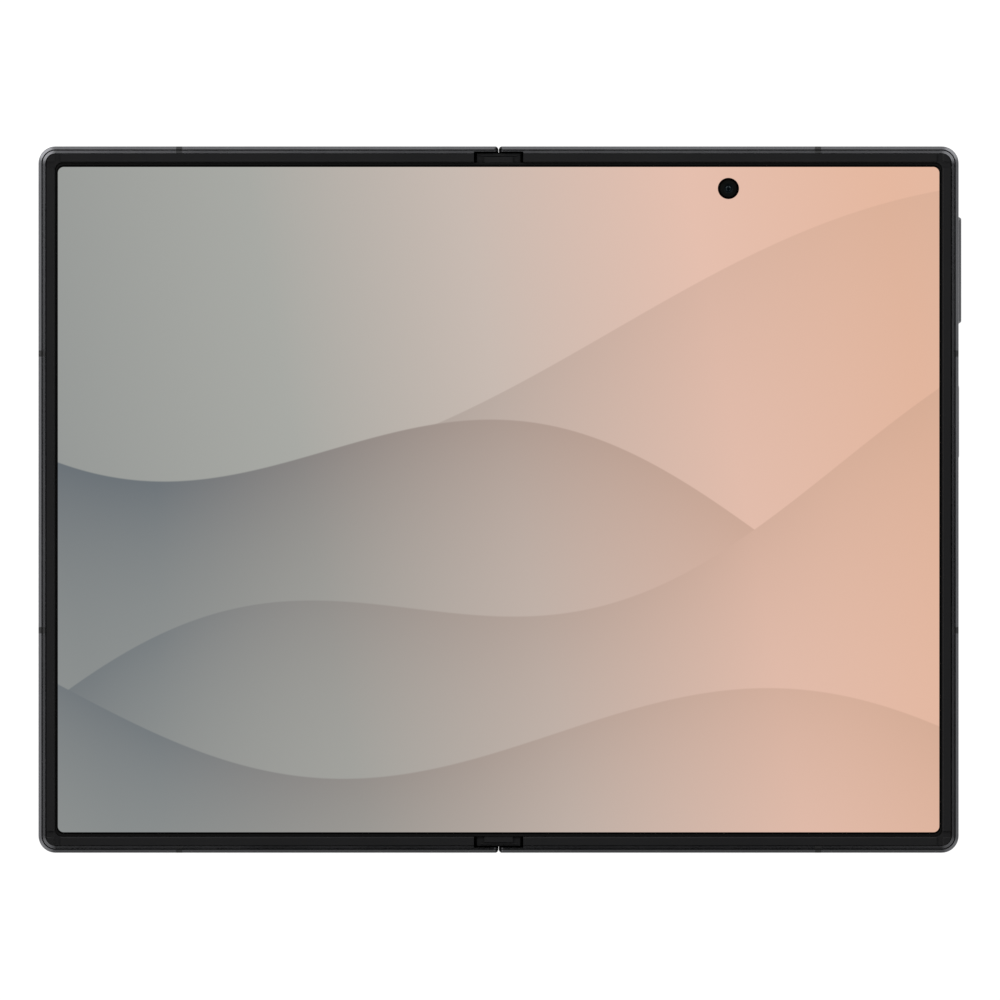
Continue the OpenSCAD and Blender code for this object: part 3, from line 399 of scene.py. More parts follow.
def ground_steel(name, tone, roughness, along=(8.0, 0.35, 8.0)):
    """Steel with fine grinding lines along the fold."""
    made, net, skin = new_material(name, Metallic=1.0)
    lines = net.effect(BRUSHED, place=net.place(stretch=along), scale=1.0)
    place = net.place()
    # Brighter edges: partly rubbed wear, partly a painted edge highlight.
    edge = net.effect(WORN_EDGE_AND_HIGHLIGHT, place=place, amount=0.5)["Mask"]
    oil = net.span(net.noise(place, 0.25, 3.0), 0.35, 0.7, 0.82, 1.0)
    tinted = net.mix(1.0, tone, net.join(oil, oil, oil), blend="MULTIPLY")
    net.put(skin["Base Color"], net.mix(edge, tinted, [min(1.0, 1.5 * part) for part in tone[:3]] + [1.0]))
    net.put(skin["Roughness"], net.math("ADD", lines["Shift"], roughness, clamp=True))
    net.put(skin["Normal"], net.bump(lines["Height"], 0.2, 0.004 * MM))
    return made


def screen_material():
    """The inner display: its picture shines, and a black border runs round it under clear polymer."""
    made, net, skin = new_material("screen", IOR=1.49, Coat_Weight=0.0, Emission_Strength=1.0,
                                   Specular_IOR_Level=0.2)
    place = net.place()
    lit = net.effect(ROUND_BOX, place=place, half_width=LIT_X / MM, half_height=LIT_Y / MM,
                     corner=LIT_CORNER / MM)["Mask"]
    from_hole = net.vector("LENGTH", net.vector("MULTIPLY", net.place(centre=PUNCH), (1.0, 1.0, 0.0)))
    hole = net.span(from_hole, PUNCH_R / MM + 0.02, PUNCH_R / MM + 0.06)
    up = net.parts(net.node("ShaderNodeNewGeometry").outputs["Normal"])[2]
    picture = net.effect(DUNES_PICTURE, place=place)["Colour"]
    facing = net.span(net.math("ABSOLUTE", up), 0.05, 0.15)
    shown = net.math("MULTIPLY", net.math("MULTIPLY", lit, hole), facing)
    edge = net.effect(ROUND_BOX, place=place, half_width=LIT_X / MM + 0.26, half_height=LIT_Y / MM + 0.34,
                      corner=LIT_CORNER / MM + 0.3, blur=0.08)["Mask"]
    net.put(skin["Base Color"], net.mix(edge, grey(0.012), grey(0.002)))
    net.put(skin["Emission Color"], net.mix(shown, grey(0.0), picture))
    smear = net.effect(HANDLED, place=place, amount=0.35)["Mask"]
    net.put(skin["Roughness"], net.span(smear, 0.0, 1.0, 0.10, 0.24))
    return made


def satin_glass_material():
    """Etched back glass: a dark, even tone with a fine pearl glitter under a satin surface."""
    made, net, skin = new_material("satin_glass", Coat_Weight=0.25, Coat_Roughness=0.3,
                                   Specular_IOR_Level=0.5)
    place = net.place()
    flakes = net.cells(place, 9.0)
    glint = net.span(net.parts(flakes["Color"])[0], 0.86, 1.0)
    clouds = net.noise(place, 0.02, 3.0)
    tone = net.mix(clouds, (0.040, 0.043, 0.048, 1.0), (0.050, 0.053, 0.058, 1.0))
    net.put(skin["Base Color"], net.mix(net.math("MULTIPLY", glint, 0.6), tone, (0.16, 0.17, 0.18, 1.0)))
    net.put(skin["Metallic"], net.math("MULTIPLY", glint, 0.5))
    smear = net.effect(HANDLED, place=place, amount=0.5)["Mask"]
    etch = net.noise(place, 22.0, 2.0)
    net.put(skin["Roughness"], net.math("SUBTRACT", net.span(etch, 0.3, 0.7, 0.36, 0.44),
                                        net.math("MULTIPLY", smear, 0.10)))
    net.put(skin["Normal"], net.bump(etch, 0.15, 0.003 * MM))
    return made


def clear_glass_material(name, tint):
    """Polished clear glass with a coating against reflections, a little smeared."""
    made, net, skin = new_material(name, IOR=1.18, Transmission_Weight=1.0)
    smear = net.effect(HANDLED, place=net.place(), amount=0.5)["Mask"]
    net.put(skin["Base Color"], net.mix(smear, tint, [0.97 * part for part in tint[:3]] + [1.0]))
    net.put(skin["Roughness"], net.span(smear, 0.0, 1.0, 0.0, 0.06))
    return made


def ink_material():
    """Black ink on the back of a glass, with a trace of unevenness."""
    made, net, skin = new_material("ink", Specular_IOR_Level=0.1)
    cloud = net.noise(net.place(), 2.0, 3.0)
    net.put(skin["Base Color"], net.mix(cloud, grey(0.002), grey(0.004)))
    net.put(skin["Roughness"], net.span(cloud, 0.3, 0.7, 0.5, 0.6))
    return made


def lens_radius(net):
    """Distance from the middle of the nearest rear lens, in millimetres."""
    at = net.parts(net.place(centre=LENS_CENTRE))
    wrapped = net.math("WRAP", at[1], LENS_PITCH / MM / 2, -LENS_PITCH / MM / 2)
    return net.vector("LENGTH", net.join(at[0], wrapped, 0.0))


def black_glass_material():
    """The cover screen, switched off: black glass, smeared by hands."""
    made, net, skin = new_material("black_glass", Specular_IOR_Level=0.34)
    smear = net.effect(HANDLED, place=net.place(), amount=0.6)["Mask"]
    net.put(skin["Base Color"], net.mix(smear, grey(0.0035), grey(0.006)))
    net.put(skin["Roughness"], net.span(smear, 0.0, 1.0, 0.04, 0.2))
    return made


def small_camera_material(name, centre):
    """A camera under a screen: a deep black rim, dark grey inside it and a painted blue-green sheen in the
    middle.
    """
    made, net, skin = new_material(name, Specular_IOR_Level=0.03)
    place = net.place(centre=centre)
    radius = net.vector("LENGTH", net.vector("MULTIPLY", place, (1.0, 1.0, 0.0)))
    cloud = net.noise(place, 1.2, 2.0)
    inside = net.mix(cloud, (0.0050, 0.0056, 0.0050, 1.0), (0.0088, 0.0094, 0.0086, 1.0))
    # Painted sheen: a blue-green reflection painted into the colour in the middle.
    painted_sheen = net.span(radius, 0.35, 1.05, 1.0, 0.0, smooth=True)
    with_painted_sheen = net.mix(painted_sheen, inside, (0.0012, 0.0050, 0.0080, 1.0))
    rim = net.span(radius, WINDOW_R / MM - 0.16, WINDOW_R / MM + 0.06, smooth=True)
    net.put(skin["Base Color"], net.mix(rim, with_painted_sheen, (0.0014, 0.0005, 0.0003, 1.0)))
    net.put(skin["Roughness"], net.span(cloud, 0.3, 0.7, 0.4, 0.55))
    return made


def coated_element_material():
    """A curved glass element with a blue-green coating over a dark pupil."""
    made, net, skin = new_material("coated_element", Specular_IOR_Level=0.26,
                                   Specular_Tint=(0.75, 0.95, 1.0, 1.0))
    cloud = net.noise(net.place(), 0.6, 2.0)
    net.put(skin["Base Color"], net.mix(cloud, (0.0010, 0.0030, 0.0046, 1.0), (0.0030, 0.0050, 0.0068, 1.0)))
    net.put(skin["Roughness"], net.span(cloud, 0.3, 0.7, 0.06, 0.12))
    return made


def gold_material():
    """Gold plate over nickel, a little scuffed."""
    made, net, skin = new_material("gold_plate", Metallic=1.0)
    scuff = net.noise(net.place(stretch=(6.0, 0.6, 6.0)), 1.0, 3.0)
    net.put(skin["Base Color"], net.mix(scuff, (0.72, 0.47, 0.16, 1.0), (0.85, 0.60, 0.25, 1.0)))
    net.put(skin["Roughness"], net.span(scuff, 0.3, 0.7, 0.22, 0.36))
    return made


def mesh_cloth_material():
    """Fine woven steel behind the speaker holes."""
    made, net, skin = new_material("woven_steel", Metallic=0.6)
    at = net.parts(net.place())
    across = net.math("SINE", net.math("MULTIPLY", at[0], math.tau / WEAVE))
    upward = net.math("SINE", net.math("MULTIPLY", at[2], math.tau / WEAVE))
    wire = net.math("MAXIMUM", across, upward)
    # Painted shade: the openings between the wires are near black.
    net.put(skin["Base Color"], net.mix(net.span(wire, 0.2, 0.9), grey(0.004), grey(0.09)))
    net.put(skin["Roughness"], net.span(wire, -1.0, 1.0, 0.6, 0.4))
    net.put(skin["Normal"], net.bump(wire, 0.6, 0.04 * MM))
    return made


def panel_material():
    """A display panel that is off: near-black with its rows of pixels just showing."""
    made, net, skin = new_material("dark_panel", Specular_IOR_Level=0.3)
    place = net.parts(net.place())
    rows = net.math("MULTIPLY", net.math("SINE", net.math("MULTIPLY", place[0], 60.0)),
                    net.math("SINE", net.math("MULTIPLY", place[1], 60.0)))
    net.put(skin["Base Color"], net.mix(net.span(rows, -1.0, 1.0), grey(0.004), grey(0.009)))
    net.put(skin["Roughness"], net.span(rows, -1.0, 1.0, 0.24, 0.34))
    return made


def turned_metal_material():
    """Lens rings: dark metal with turning marks round each lens."""
    made, net, skin = new_material("turned_ring", Metallic=1.0)
    marks = net.noise(net.join(lens_radius(net), 0.0, 0.0), 14.0, 3.0, 0.6)
    place = net.place()
    # Brighter edges: partly rubbed wear, partly a painted edge highlight.
    edge = net.effect(WORN_EDGE_AND_HIGHLIGHT, place=place, amount=0.6)["Mask"]
    net.put(skin["Base Color"], net.mix(edge, (0.115, 0.118, 0.125, 1.0), (0.42, 0.43, 0.45, 1.0)))
    net.put(skin["Roughness"], net.span(marks, 0.3, 0.7, 0.22, 0.36))
    net.put(skin["Normal"], net.bump(marks, 0.25, 0.01 * MM))
    return made


def circuit_material():
    """Circuit board: green mask over fine tracks, with tinned pads."""
    made, net, skin = new_material("circuit", Coat_Weight=0.4, Coat_Roughness=0.15)
    place = net.place()
    grid = net.cells(net.vector("MULTIPLY", place, (1.0, 1.0, 0.05)), 0.9)
    line = net.parts(net.vector("FRACTION", net.vector("MULTIPLY", place, (1.4, 1.4, 1.0))))
    track = net.math("LESS_THAN", line[0], net.math("MULTIPLY", net.parts(grid["Color"])[1], 0.45))
    pad = net.math("LESS_THAN", grid["Distance"], 0.16)
    masked = net.mix(track, (0.010, 0.058, 0.036, 1.0), (0.022, 0.105, 0.062, 1.0))
    net.put(skin["Base Color"], net.mix(pad, masked, (0.62, 0.60, 0.54, 1.0)))
    net.put(skin["Metallic"], pad)
    net.put(skin["Roughness"], net.mix(pad, grey(0.42), grey(0.3)))
    net.put(skin["Normal"], net.bump(net.math("ADD", track, pad), 0.3, 0.01 * MM))
    return made


def tinned_material():
    """Tin-plated sheet: pale metal with a faint crystal pattern."""
    made, net, skin = new_material("tinned", Metallic=1.0)
    place = net.place()
    spangle = net.cells(place, 0.6)
    net.put(skin["Base Color"], net.mix(net.parts(spangle["Color"])[0], grey(0.48), grey(0.62)))
    net.put(skin["Roughness"], net.span(net.noise(place, 3.0, 3.0), 0.3, 0.7, 0.26, 0.42))
    net.put(skin["Normal"], net.bump(net.noise(place, 5.0, 3.0), 0.15, 0.01 * MM))
    return made


def pouch_material():
    """The foil pouch of a cell: dark, softly creased laminate."""
    made, net, skin = new_material("pouch", Specular_IOR_Level=0.5)
    place = net.place()
    crease = net.noise(place, 0.35, 4.0, 0.6)
    # Painted shade: darker in the hollows of the creases, with the same noise that sets the bump.
    net.put(skin["Base Color"], net.mix(crease, (0.018, 0.019, 0.021, 1.0), (0.035, 0.036, 0.039, 1.0)))
    net.put(skin["Roughness"], net.span(crease, 0.3, 0.7, 0.32, 0.5))
    net.put(skin["Normal"], net.bump(crease, 0.4, 0.08 * MM))
    return made


def winding_material():
    """Enamelled copper wound flat, turn beside turn about the middle of the coil."""
    made, net, skin = new_material("winding", Metallic=1.0)
    low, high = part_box("charging_coil")
    at = net.vector("MULTIPLY", net.place(centre=(low + high) / 2), (1.0, 1.0, 0.0))
    turns = net.math("SINE", net.math("MULTIPLY", net.vector("LENGTH", at), math.tau / 0.5))
    # Painted shade: darker copper in the grooves between the turns, where the bump is low.
    net.put(skin["Base Color"], net.mix(net.span(turns, -1.0, 0.2), (0.20, 0.06, 0.02, 1.0),
                                        (0.72, 0.30, 0.13, 1.0)))
    net.put(skin["Roughness"], net.span(net.noise(at, 2.0, 2.0), 0.3, 0.7, 0.24, 0.36))
    net.put(skin["Normal"], net.bump(turns, 0.5, 0.05 * MM))
    return made


def polyimide_material():
    """Amber film of a flexible circuit, with its copper tracks under it."""
    made, net, skin = new_material("polyimide", Coat_Weight=0.5, Coat_Roughness=0.12)
    at = net.parts(net.place())
    track = net.math("GREATER_THAN", net.math("SINE", net.math("MULTIPLY", at[2], math.tau / 0.35)), 0.1)
    net.put(skin["Base Color"], net.mix(track, (0.42, 0.17, 0.025, 1.0), (0.60, 0.27, 0.05, 1.0)))
    net.put(skin["Roughness"], net.mix(track, grey(0.34), grey(0.28)))
    net.put(skin["Normal"], net.bump(track, 0.3, 0.01 * MM))
    return made


def flash_material():
    """Milky flash window: rings of a fine Fresnel lens over a yellow emitter."""
    made, net, skin = new_material("flash_lens", Coat_Weight=1.0, Coat_Roughness=0.04, IOR=1.5,
                                   Subsurface_Weight=0.25, Subsurface_Scale=0.0005)
    at = net.vector("MULTIPLY", net.place(centre=(FLASH_LOW + FLASH_HIGH) / 2), (1.0, 1.0, 0.0))
    radius = net.vector("LENGTH", at)
    emitter = net.span(radius, 0.85, 1.0, 1.0, 0.0, smooth=True)
    rings = net.math("FRACT", net.math("MULTIPLY", radius, 1 / 0.28))
    net.put(skin["Base Color"], net.mix(emitter, (0.72, 0.71, 0.66, 1.0), (0.80, 0.62, 0.16, 1.0)))
    net.put(skin["Roughness"], net.span(rings, 0.0, 1.0, 0.2, 0.3))
    net.put(skin["Normal"], net.bump(rings, 0.5, 0.04 * MM))
    return made


def bronze_material():
    """Sintered bronze gears: warm metal, open pores and a trace of grease."""
    made, net, skin = new_material("bronze", Metallic=1.0)
    place = net.place()
    pores = net.span(net.cells(place, 14.0)["Distance"], 0.0, 0.25)
    grease = net.span(net.noise(place, 0.8, 3.0), 0.45, 0.6, smooth=True)
    tone = net.mix(grease, (0.50, 0.34, 0.17, 1.0), (0.34, 0.23, 0.12, 1.0))
    # Painted shade: the open pores, low in the bump, are painted dark.
    net.put(skin["Base Color"], net.mix(pores, (0.12, 0.08, 0.05, 1.0), tone))
    net.put(skin["Roughness"], net.span(grease, 0.0, 1.0, 0.42, 0.2))
    net.put(skin["Normal"], net.bump(pores, 0.4, 0.01 * MM))
    return made


MATERIALS = {
    "frame_metal": anodised("graphite_aluminium", (0.128, 0.129, 0.136, 1.0), 0.27),
    "key_metal": anodised("key_aluminium", (0.135, 0.136, 0.143, 1.0), 0.27),
    "band_plastic": moulded("band_polymer", (0.020, 0.020, 0.021, 1.0), 0.5),
    "bezel_plastic": moulded("rim_polymer", (0.0162, 0.0162, 0.0169, 1.0), 0.62, specular=0.12),
    "display": screen_material(),
    "back_glass": satin_glass_material(),
    "cover_glass": black_glass_material(),
    "lens_glass": clear_glass_material("lens_glass", (0.93, 0.95, 1.0, 1.0)),
    "flash_window": flash_material(),
    "ring_metal": turned_metal_material(),
    "hinge_steel": ground_steel("ground_steel", (0.42, 0.43, 0.44, 1.0), 0.30),
    "hinge_dark": moulded("black_coating", (0.0155, 0.0155, 0.0162, 1.0), 0.55, specular=0.15),
    "gear_bronze": bronze_material(),
    "board": circuit_material(),
    "shield": tinned_material(),
    "cell": pouch_material(),
    "coil_copper": winding_material(),
    "polyimide": polyimide_material(),
    "module_plastic": moulded("module_polymer", (0.014, 0.014, 0.015, 1.0), 0.45),
}
OWN_MATERIALS = {
    "cover_display": panel_material(),
    "inner_camera": small_camera_material("inner_camera_black", PUNCH),
    "cover_camera": small_camera_material("cover_camera_black", COVER),
}
ELEMENT = coated_element_material()
INK = ink_material()
GOLD = gold_material()
WOVEN = mesh_cloth_material()
SLOTS = {part["node"]: part["material_slot"] for part in frame["record"]["subparts"]}
BODY_OF = {node: body for body, nodes in frame["record"]["behaviour"]["bodies"].items() for node in nodes}


def dress_nodes():
    """Gives every carried-over node the finish of its material slot."""
    for name, piece in frame["nodes"].items():
        piece.data.materials.clear()
        piece.data.materials.append(OWN_MATERIALS.get(name, MATERIALS[SLOTS[name]]))


# ---------------------------------------------------------------------------------------
# Meshes
# ---------------------------------------------------------------------------------------

def make_piece(name, bm, material, body=None):
    """Turns a bmesh into a shown piece that rides on a body."""
    mesh = bpy.data.meshes.new(name)
    bm.to_mesh(mesh)
    bm.free()
    mesh.materials.append(material)
    piece = bpy.data.objects.new(name, mesh)
    bpy.context.scene.collection.objects.link(piece)
    if body:
        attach(piece, body)
    return piece


def outward(bm, merge=1e-7):
    """Joins doubled vertices and turns the faces outwards."""
    bmesh.ops.remove_doubles(bm, verts=bm.verts, dist=merge)
    bmesh.ops.recalc_face_normals(bm, faces=bm.faces)


def settle(piece):
    """Applies a piece's modifiers to its mesh."""
    graph = bpy.context.evaluated_depsgraph_get()
    done = bpy.data.meshes.new_from_object(piece.evaluated_get(graph))
    piece.modifiers.clear()
    piece.data = done


def round_corners(bm, corners, radius, segments):
    """Rounds the given corners of a flat shape."""
    bmesh.ops.bevel(bm, geom=corners, affect="VERTICES", offset=radius, segments=segments,
                    profile=0.5, material=-1)


def drill(piece, centre, radius, low, high, sides=64):
    """Cuts a round hole through a piece."""
    cutter = bmesh.new()
    bmesh.ops.create_cone(cutter, cap_ends=True, segments=sides, radius1=radius, radius2=radius,
                          depth=high - low)
    bmesh.ops.translate(cutter, verts=cutter.verts, vec=(centre.x, centre.y, (low + high) / 2))
    tool = make_piece("drill", cutter, GOLD)
    cut = piece.modifiers.new("hole", "BOOLEAN")
    cut.operation = "DIFFERENCE"
    cut.solver = "EXACT"
    cut.object = tool
    settle(piece)
    bpy.data.objects.remove(tool)


def screen_half(name, side, replaced):
    """One half of the folding display, from its outer edge to the fold, cut in rows near the fold."""
    bm = bmesh.new()
    bmesh.ops.create_grid(bm, x_segments=1, y_segments=1, size=1.0)
    bmesh.ops.scale(bm, verts=bm.verts, vec=(SCREEN_X / 2, SCREEN_Y, 1.0))
    bmesh.ops.translate(bm, verts=bm.verts, vec=(side * SCREEN_X / 2, 0.0, SCREEN_TOP - SCREEN_T))
    outer = [v for v in bm.verts if abs(v.co.x) > SCREEN_X / 2]
    round_corners(bm, outer, SCREEN_CORNER, 8)
    sheet = bmesh.ops.extrude_face_region(bm, geom=bm.faces[:])["geom"]
    raised = [v for v in sheet if isinstance(v, bmesh.types.BMVert)]
    bmesh.ops.translate(bm, verts=raised, vec=(0.0, 0.0, SCREEN_T))
    outward(bm)
    rim = [e for e in bm.edges if all(v.co.z > SCREEN_TOP - HAIR for v in e.verts)
           and any(abs(v.co.x) > HAIR for v in e.verts)]
    bmesh.ops.bevel(bm, geom=rim, affect="EDGES", offset=SCREEN_EDGE, segments=2, profile=0.5,
                    material=-1)
    piece = make_piece(name, bm, MATERIALS["display"])
    if side > 0:
        drill(piece, PUNCH, PUNCH_R, SCREEN_TOP - SCREEN_T - MM, SCREEN_TOP + MM)
    bm = bmesh.new()
    bm.from_mesh(piece.data)
    for row in range(1, BEND_ROWS):
        cut_x = side * BEND_TO * 1.05 * row / (BEND_ROWS - 1)
        bmesh.ops.bisect_plane(bm, geom=bm.verts[:] + bm.edges[:] + bm.faces[:], plane_co=(cut_x, 0, 0),
                               plane_no=(1, 0, 0))
    bmesh.ops.triangulate(bm, faces=[f for f in bm.faces if len(f.verts) > 4])
    bm.to_mesh(piece.data)
    bm.free()
    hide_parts(*replaced)
    return piece


def make_screen():
    """Both halves of the display, each cut in rows near the fold."""
    left = screen_half("screen_left", -1, ["display_left", "display_fold"])
    right = screen_half("screen_right", 1, ["display_right"])
    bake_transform(left)
    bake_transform(right)


def soften(name, radius, segments=3, steepest=40.0, keep=None):
    """A copy of a CAD node with its sharp edges rounded, shown in the node's place.

    keep, if given, says of an edge whether it is rounded."""
    bm = bmesh.new()
    bm.from_mesh(frame["nodes"][name].data)
    bmesh.ops.remove_doubles(bm, verts=bm.verts, dist=1e-6)
    bmesh.ops.dissolve_limit(bm, angle_limit=math.radians(1.0), verts=bm.verts, edges=bm.edges)
    edges = [e for e in bm.edges if len(e.link_faces) == 2 and e.is_convex
             and e.calc_face_angle() > math.radians(steepest) and (keep is None or keep(e))]
    bmesh.ops.bevel(bm, geom=edges, affect="EDGES", offset=radius, segments=segments, profile=0.5,
                    material=-1, clamp_overlap=True)
    piece = make_piece(name + "_soft", bm, OWN_MATERIALS.get(name, MATERIALS[SLOTS[name]]))
    stand_in(piece, name)
    return piece


def stand_in(piece, name):
    """Shows a piece in a CAD node's place, moving with its body."""
    smooth(piece)
    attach(piece, BODY_OF[name])
    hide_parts(name)


def smooth(piece, sharpest=35.0):
    """Smooth shading, broken where two faces meet at a sharp angle."""
    piece.data.shade_smooth()
    piece.data.set_sharp_from_angle(angle=math.radians(sharpest))
    even = piece.modifiers.new("even", "WEIGHTED_NORMAL")
    even.keep_sharp = True
    even.weight = 100
    settle(piece)


def spun(name, profile, centre, material, body, steps=64):
    """A turned piece: a closed profile of (radius, height) points, spun about an upright axis."""
    bm = bmesh.new()
    points = [bm.verts.new((centre.x + radius, centre.y, height)) for radius, height in profile]
    edges = [bm.edges.new(pair) for pair in zip(points, points[1:] + points[:1])]
    bmesh.ops.spin(bm, geom=points + edges, cent=(centre.x, centre.y, 0), axis=(0, 0, 1),
                   angle=math.tau, steps=steps, use_merge=True)
    outward(bm)
    piece = make_piece(name, bm, material, body)
    smooth(piece)
    return piece


def dome(curve, radius, top, upward, thickness, rows=12):
    """Profile of a glass element: a ball's cap whose apex is at top, on a flat back."""
    face = []
    for row in range(rows + 1):
        reach = radius * row / rows
        face.append((reach, top - upward * (curve - math.sqrt(curve ** 2 - reach ** 2))))
    back = face[-1][1] - upward * thickness
    return face + [(radius, back), (0.0, back)]


def ring(outer, inner, low, high):
    """Profile of a flat ring."""
    return [(outer, low), (outer, high), (inner, high), (inner, low)]


def plate(name, low, high, material, body):
    """A small rectangular piece between two corners."""
    bm = bmesh.new()
    bmesh.ops.create_cube(bm, size=1.0)
    bmesh.ops.scale(bm, verts=bm.verts, vec=high - low)
    bmesh.ops.translate(bm, verts=bm.verts, vec=(low + high) / 2)
    return make_piece(name, bm, material, body)


# ---------------------------------------------------------------------------------------
# Added detail
# ---------------------------------------------------------------------------------------

KEY_CROWN = 0.55 * MM
KEY_FALL = 0.40 * MM
KEY_ROUND = 0.09 * MM
KEY_STEP = 0.15 * MM


def make_key(name):
    """A key with a sloped crown round its face; the flange behind the rail stays as it is."""
    low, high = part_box(name)
    bm = bmesh.new()
    bm.from_mesh(frame["nodes"][name].data)
    bmesh.ops.remove_doubles(bm, verts=bm.verts, dist=1e-6)
    face = [v for v in bm.verts if v.co.x > high.x - KEY_STEP - MM / 200]
    bmesh.ops.delete(bm, geom=face, context="VERTS")
    middle_y = (low.y + high.y) / 2
    middle_z = (low.z + high.z) / 2
    half_l = max(abs(v.co.y - middle_y) for e in bm.edges if e.is_boundary for v in e.verts)
    for end_x, inset in ((high.x - KEY_CROWN, 0.0), (high.x, KEY_FALL)):
        rims = [e for e in bm.edges if e.is_boundary]
        grown = bmesh.ops.extrude_edge_only(bm, edges=rims)["geom"]
        tips = [v for v in grown if isinstance(v, bmesh.types.BMVert)]
        half_h = max(abs(v.co.z - middle_z) for v in tips)
        for tip in tips:
            straight = half_l - half_h
            along = max(-straight, min(straight, tip.co.y - middle_y))
            out = Vector((0.0, tip.co.y - middle_y - along, tip.co.z - middle_z))
            tip.co -= out * (inset / half_h)
            tip.co.x = end_x
    bmesh.ops.holes_fill(bm, edges=[e for e in bm.edges if e.is_boundary])
    bmesh.ops.dissolve_limit(bm, angle_limit=math.radians(1.0), verts=bm.verts, edges=bm.edges)
    crown_x = high.x - KEY_CROWN
    edges = [e for e in bm.edges if abs(e.verts[0].co.x - e.verts[1].co.x) < MM / 1000
             and e.verts[0].co.x > crown_x - MM / 1000]
    bmesh.ops.bevel(bm, geom=edges, affect="EDGES", offset=KEY_ROUND, segments=3, profile=0.5,
                    material=-1, clamp_overlap=True)
    outward(bm)
    stand_in(make_piece(name + "_round", bm, MATERIALS[SLOTS[name]]), name)


# Rear camera: elements as (curve, radius, depth), stops as (outer radius, depth), in millimetres
REAR_ELEMENTS = [(5.2, 3.1, 0.42), (2.6, 1.7, 0.86)]
REAR_STOPS = [(3.95, 0.02), (3.45, 0.34), (2.55, 0.80)]
STOP_W = 0.4 * MM
STOP_T = 0.1 * MM
SMALL_CURVE = 0.82 * MM
SMALL_ELEMENT_R = 0.6 * MM


def make_camera_optics():
    """Ink, stops and glass elements in the three rear cameras, and elements in the two small ones."""
    for number, (low, high) in enumerate(LENS_BOXES, 1):
        centre = (low + high) / 2
        mouth = high.z
        spun("lens_ink_%d" % number, ring(high.x - centre.x - MM / 20, LENS_CLEAR, mouth - 0.03 * MM,
                                          mouth - 0.01 * MM), centre, INK, "right_half")
        for part, (curve, radius, depth) in enumerate(REAR_ELEMENTS, 1):
            spun("rear_element_%d_%d" % (number, part),
                 dome(curve * MM, radius * MM, mouth + depth * MM, -1, 0.05 * MM), centre, ELEMENT,
                 "right_half")
        for part, (radius, depth) in enumerate(REAR_STOPS, 1):
            start = mouth + depth * MM
            stop = ring(radius * MM, radius * MM - STOP_W, start, start + STOP_T)
            spun("rear_stop_%d_%d" % (number, part), stop,
                 centre, MATERIALS["module_plastic"], "right_half")
    spun("inner_camera_element", dome(SMALL_CURVE, SMALL_ELEMENT_R, PUNCH_HIGH.z - 0.02 * MM, 1, 0.02 * MM),
         PUNCH, ELEMENT, "right_half")
    spun("cover_camera_element", dome(SMALL_CURVE, SMALL_ELEMENT_R, COVER_LOW.z + 0.02 * MM, -1, 0.02 * MM),
         COVER, ELEMENT, "left_half")


def make_cover_window(glass):
    """A clear window in the cover glass, over the camera behind it."""
    low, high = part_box("cover_glass")
    drill(glass, COVER, WINDOW_R, low.z - MM, high.z + MM)
    smooth(glass)
    edge = WINDOW_R - HAIR
    spun("cover_window", [(0.0, low.z), (edge, low.z), (edge, high.z), (0.0, high.z)],
         COVER, MATERIALS["lens_glass"], "left_half")


CONTACTS = 12
CONTACT_PITCH = 0.5 * MM
CONTACT_W = 0.26 * MM
CONTACT_L = 4.2 * MM
CONTACT_T = 0.03 * MM


def make_port_contacts():
    """Twelve gold contacts on each face of the port's tongue."""
    middle = (PORT_LOW.x + PORT_HIGH.x) / 2
    start_y = PORT_LOW.y + 0.35 * MM
    for label, low_z in (("back", PORT_LOW.z - CONTACT_T), ("front", PORT_HIGH.z)):
        for number in range(CONTACTS):
            x = middle + (number - (CONTACTS - 1) / 2) * CONTACT_PITCH
            plate("contact_%s_%02d" % (label, number + 1),
                  Vector((x - CONTACT_W / 2, start_y, low_z)),
                  Vector((x + CONTACT_W / 2, start_y + CONTACT_L, low_z + CONTACT_T)), GOLD,
                  "right_half")


SOUND_HOLES = 6
SOUND_PITCH = 1.9 * MM
SOUND_FIRST_X = 56.5 * MM
SOUND_MESH_R = 0.49 * MM
SOUND_MESH_DEPTH = 0.45 * MM


def make_speaker_mesh():
    """Woven steel behind each speaker hole."""
    port_z = (PORT_LOW.z + PORT_HIGH.z) / 2
    for side, body in ((1, "right_half"), (-1, "left_half")):
        face_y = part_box("right_frame")[0].y if side > 0 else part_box("left_frame")[1].y
        for number in range(SOUND_HOLES):
            bm = bmesh.new()
            bmesh.ops.create_cone(bm, cap_ends=True, segments=32, radius1=SOUND_MESH_R,
                                  radius2=SOUND_MESH_R, depth=0.05 * MM)
            bmesh.ops.rotate(bm, verts=bm.verts, cent=(0, 0, 0), matrix=Matrix.Rotation(math.pi / 2, 3, "X"))
            x = side * (SOUND_FIRST_X + number * SOUND_PITCH)
            bmesh.ops.translate(bm, verts=bm.verts, vec=(x, face_y + side * SOUND_MESH_DEPTH, port_z))
            make_piece("speaker_mesh_%s_%d" % (body[:-5], number + 1), bm, WOVEN, body)


def make_soft_copies():
    """Rounds what a hand or an eye meets: glass, rings, bezel, hinge blocks, port, tray and cap."""
    glasses = {}
    for name in ("back_glass", "cover_glass"):
        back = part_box(name)[0].z
        glasses[name] = soften(name, 0.14 * MM,
                               keep=lambda e, z=back: all(v.co.z < z + HAIR for v in e.verts))
    make_cover_window(glasses["cover_glass"])
    for number in (1, 2, 3):
        soften("camera_ring_%d" % number, 0.05 * MM, 2, steepest=30.0)
    for name in ("right_bezel", "left_bezel"):
        soften(name, 0.05 * MM, 2, steepest=30.0)
    for name in ("bearing_block_top", "bearing_block_bottom"):
        soften(name, 0.05 * MM, 2)
    for name in ("port_shell", "card_tray", "spine_cover"):
        soften(name, 0.06 * MM, 2)


DECK_ROUND = 0.35 * MM
DECK_STEPS = 64
BARREL_HOLE_R = 4.8 * MM


